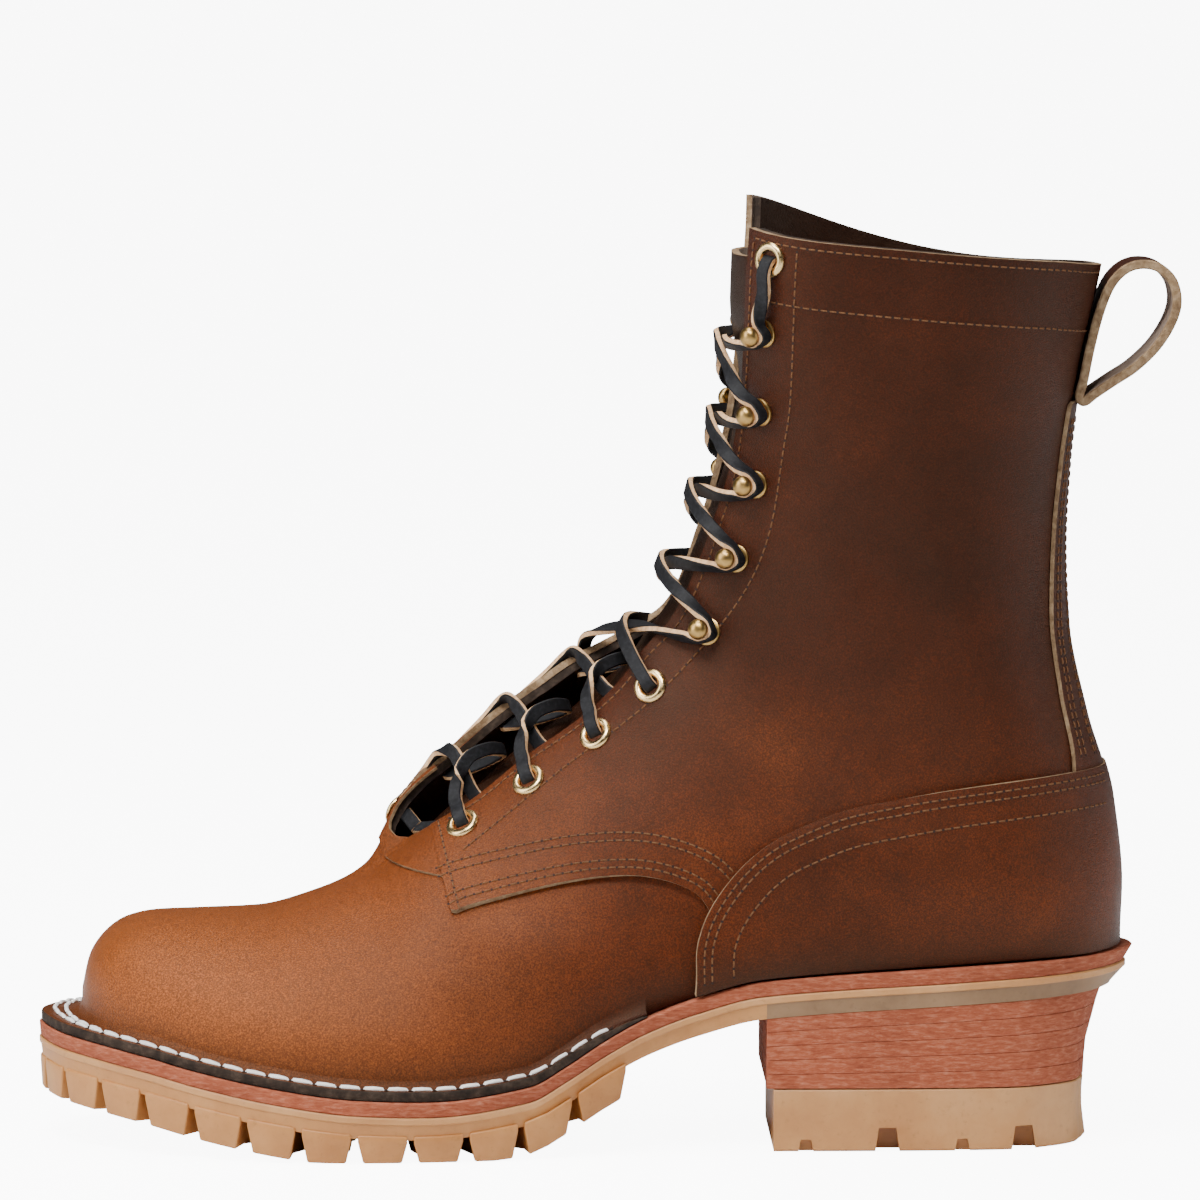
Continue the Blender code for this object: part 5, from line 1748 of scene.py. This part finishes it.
def even_spots(row, pitch):
    places = np.array([spot for spot, _ in row])
    outs = np.array([out for _, out in row])
    gone = np.concatenate([[0.0], np.cumsum(np.linalg.norm(np.diff(places, axis=0), axis=1))])
    count = max(int(gone[-1] / pitch), 1)
    at = np.linspace(0.0, gone[-1], count * 4 + 1)
    read = [np.interp(at, gone, places[:, k]) for k in range(3)]
    ways = [np.interp(at, gone, outs[:, k]) for k in range(3)]
    return np.stack(read, axis=1), np.stack(ways, axis=1), count


def sew(name, rows, pitch, thick, finish, sink=0.35, gap=0.10, proud=0.25):
    """Join all the stitches of many rows into one mesh, and the painted shade of all their holes
    into another.
    """
    sides = 6
    points, faces, holes, hole_faces = [], [], [], []
    for row in rows:
        if len(row) < 2:
            continue
        places, ways, count = even_spots(row, pitch)
        for n in range(count):
            start, end = places[n * 4], places[n * 4 + 4]
            way = ways[n * 4 + 2] / np.linalg.norm(ways[n * 4 + 2])
            along = end - start
            length = np.linalg.norm(along)
            along = along / length
            across = np.cross(way, along)
            base = len(points)
            for u, high, radius in ((gap, -sink, 0.55), (gap + 0.12, proud * 0.6, 0.95),
                                    (0.5, proud, 1.0), (1 - gap - 0.12, proud * 0.6, 0.95),
                                    (1 - gap, -sink, 0.55)):
                centre = start + along * length * u + way * thick * high
                if 0.3 < u < 0.7:
                    centre += places[n * 4 + 2] - (start + end) / 2
                for step in range(sides):
                    angle = 2 * math.pi * step / sides
                    points.append(centre + (across * math.cos(angle) + way * math.sin(angle))
                                  * thick * radius / 2)
            for i in range(4):
                for j in range(sides):
                    k = (j + 1) % sides
                    faces.append((base + i * sides + j, base + i * sides + k,
                                  base + (i + 1) * sides + k, base + (i + 1) * sides + j))
            first = len(holes)
            for step in range(8):
                angle = 2 * math.pi * step / 8
                holes.append(start + way * 0.07 * MM + (across * math.cos(angle) * 0.85
                                                        + along * math.sin(angle) * 0.75) * thick)
            hole_faces.append(tuple(range(first, first + 8)))
    thread = new_object(name, points, faces)
    thread.data.materials.append(finish)
    dots = new_object(name + "_holes", holes, hole_faces)
    dots.data.materials.append(HOLE_SHADE)
    for piece in (thread, dots):
        work = bmesh.new()
        work.from_mesh(piece.data)
        bmesh.ops.recalc_face_normals(work, faces=work.faces)
        work.to_mesh(piece.data)
        work.free()
        ready(piece, (), 60)
    return thread


# Needle holes are flat dark discs on the leather: painted shade in each hole.
HOLE_SHADE, _, _, hole_shader = new_finish("needle_hole_shade")
hole_shader.inputs["Base Color"].default_value = (0.022, 0.009, 0.005, 1.0)
hole_shader.inputs["Roughness"].default_value = 0.9

keep_quarter = inside_outline(quarter_outline)
keep_counter = inside_outline(counter_outline)
lower_edge = side_line(QUARTER_EDGE[2:9])
front_edge = side_line(QUARTER_EDGE[1:3])
counter_edge = side_line(COUNTER_EDGE[1:])
EYESTAY = ((0.319, 0.975), (0.321, 0.929), (0.324, 0.815), (0.330, 0.760), (0.342, 0.672),
           (0.365, 0.606), (0.408, 0.540), (0.465, 0.474), (0.540, 0.408), (0.598, 0.354),
           (0.634, 0.322))
rows = []
for distance in (2.2, 4.3, 9.6, 11.8):
    line = inset_line(lower_edge, distance * MM, keep_quarter)
    flat = np.column_stack([line[:, 0], np.zeros(len(line)), line[:, 1]])
    rows += on_sides(ON_QUARTER, line[keep_counter(flat) < 0.6 * MM])
rows += on_sides(ON_QUARTER, inset_line(front_edge, 2.4 * MM, keep_quarter))
rows += on_sides(ON_QUARTER, side_line(EYESTAY))
for side in (-1, 1):
    row = []
    for height in np.linspace(0.352, 0.985, 90):
        y = facing(side, height, 2.8 * MM)
        row.append(from_front(ON_QUARTER, y, height * COLLAR_HEIGHT))
    rows.append(row)
COLLAR_FRONT = -52.5 * MM
turns = np.radians(np.linspace(-146, 150, 160))
rows.append([round_shaft(ON_QUARTER, a, 2.3 * MM) for a in turns])
rows.append([round_shaft(ON_QUARTER, a, 19.3 * MM) for a in turns])
rows = [[(spot, out) for spot, out in row if spot.x > COLLAR_FRONT or spot.z < 259 * MM]
        for row in rows]
sew("seams_quarter", rows, 2.6 * MM, 0.50 * MM, THREAD)

rows = []
for distance in (2.2, 4.4, 10.6):
    line = inset_line(counter_edge, distance * MM, keep_counter)
    line = line[(line[:, 1] > seat(line[:, 0]) + 3 * MM) & (line[:, 0] < 52 * MM)]
    rows += on_sides(ON_COUNTER, line)
sew("seams_counter", rows, 2.6 * MM, 0.50 * MM, THREAD)

rows = []
for inset in (2.4, 4.8, 11.5, 13.9):
    for side in (-1, 1):
        row = []
        for height in np.linspace(0.425, 0.79, 60):
            half = float(smooth(BACKSTAY_HALF, 1, height)) * UPPER_WIDTH - inset * MM
            row.append(from_back(ON_BACKSTAY, side * half, height * COLLAR_HEIGHT))
        rows.append([spot for spot in row if spot])
sew("seams_backstay", rows, 2.6 * MM, 0.50 * MM, THREAD)

rows = []
for share in (0.28, 0.66):
    row = []
    for section in FLANGE_ROWS[6:-6]:
        a, b = section[3], section[5]
        row.append((a + (b - a) * share, Vector((0.0, 0.0, 1.0))))
    rows.append(row)
sew("seams_flange", rows, 6.8 * MM, 1.25 * MM, THREAD_WHITE, sink=0.5, gap=0.05, proud=0.3)
print("stitches are sewn")

# %% [markdown]
# ## Insole
# The insole lies inside and needs nothing but its leather, so the solid itself is kept.

# %% Pieces kept from the solids
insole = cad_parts["insole"]
insole.data.materials.clear()
insole.data.materials.append(FLESH)
print("kept:", insole.name)
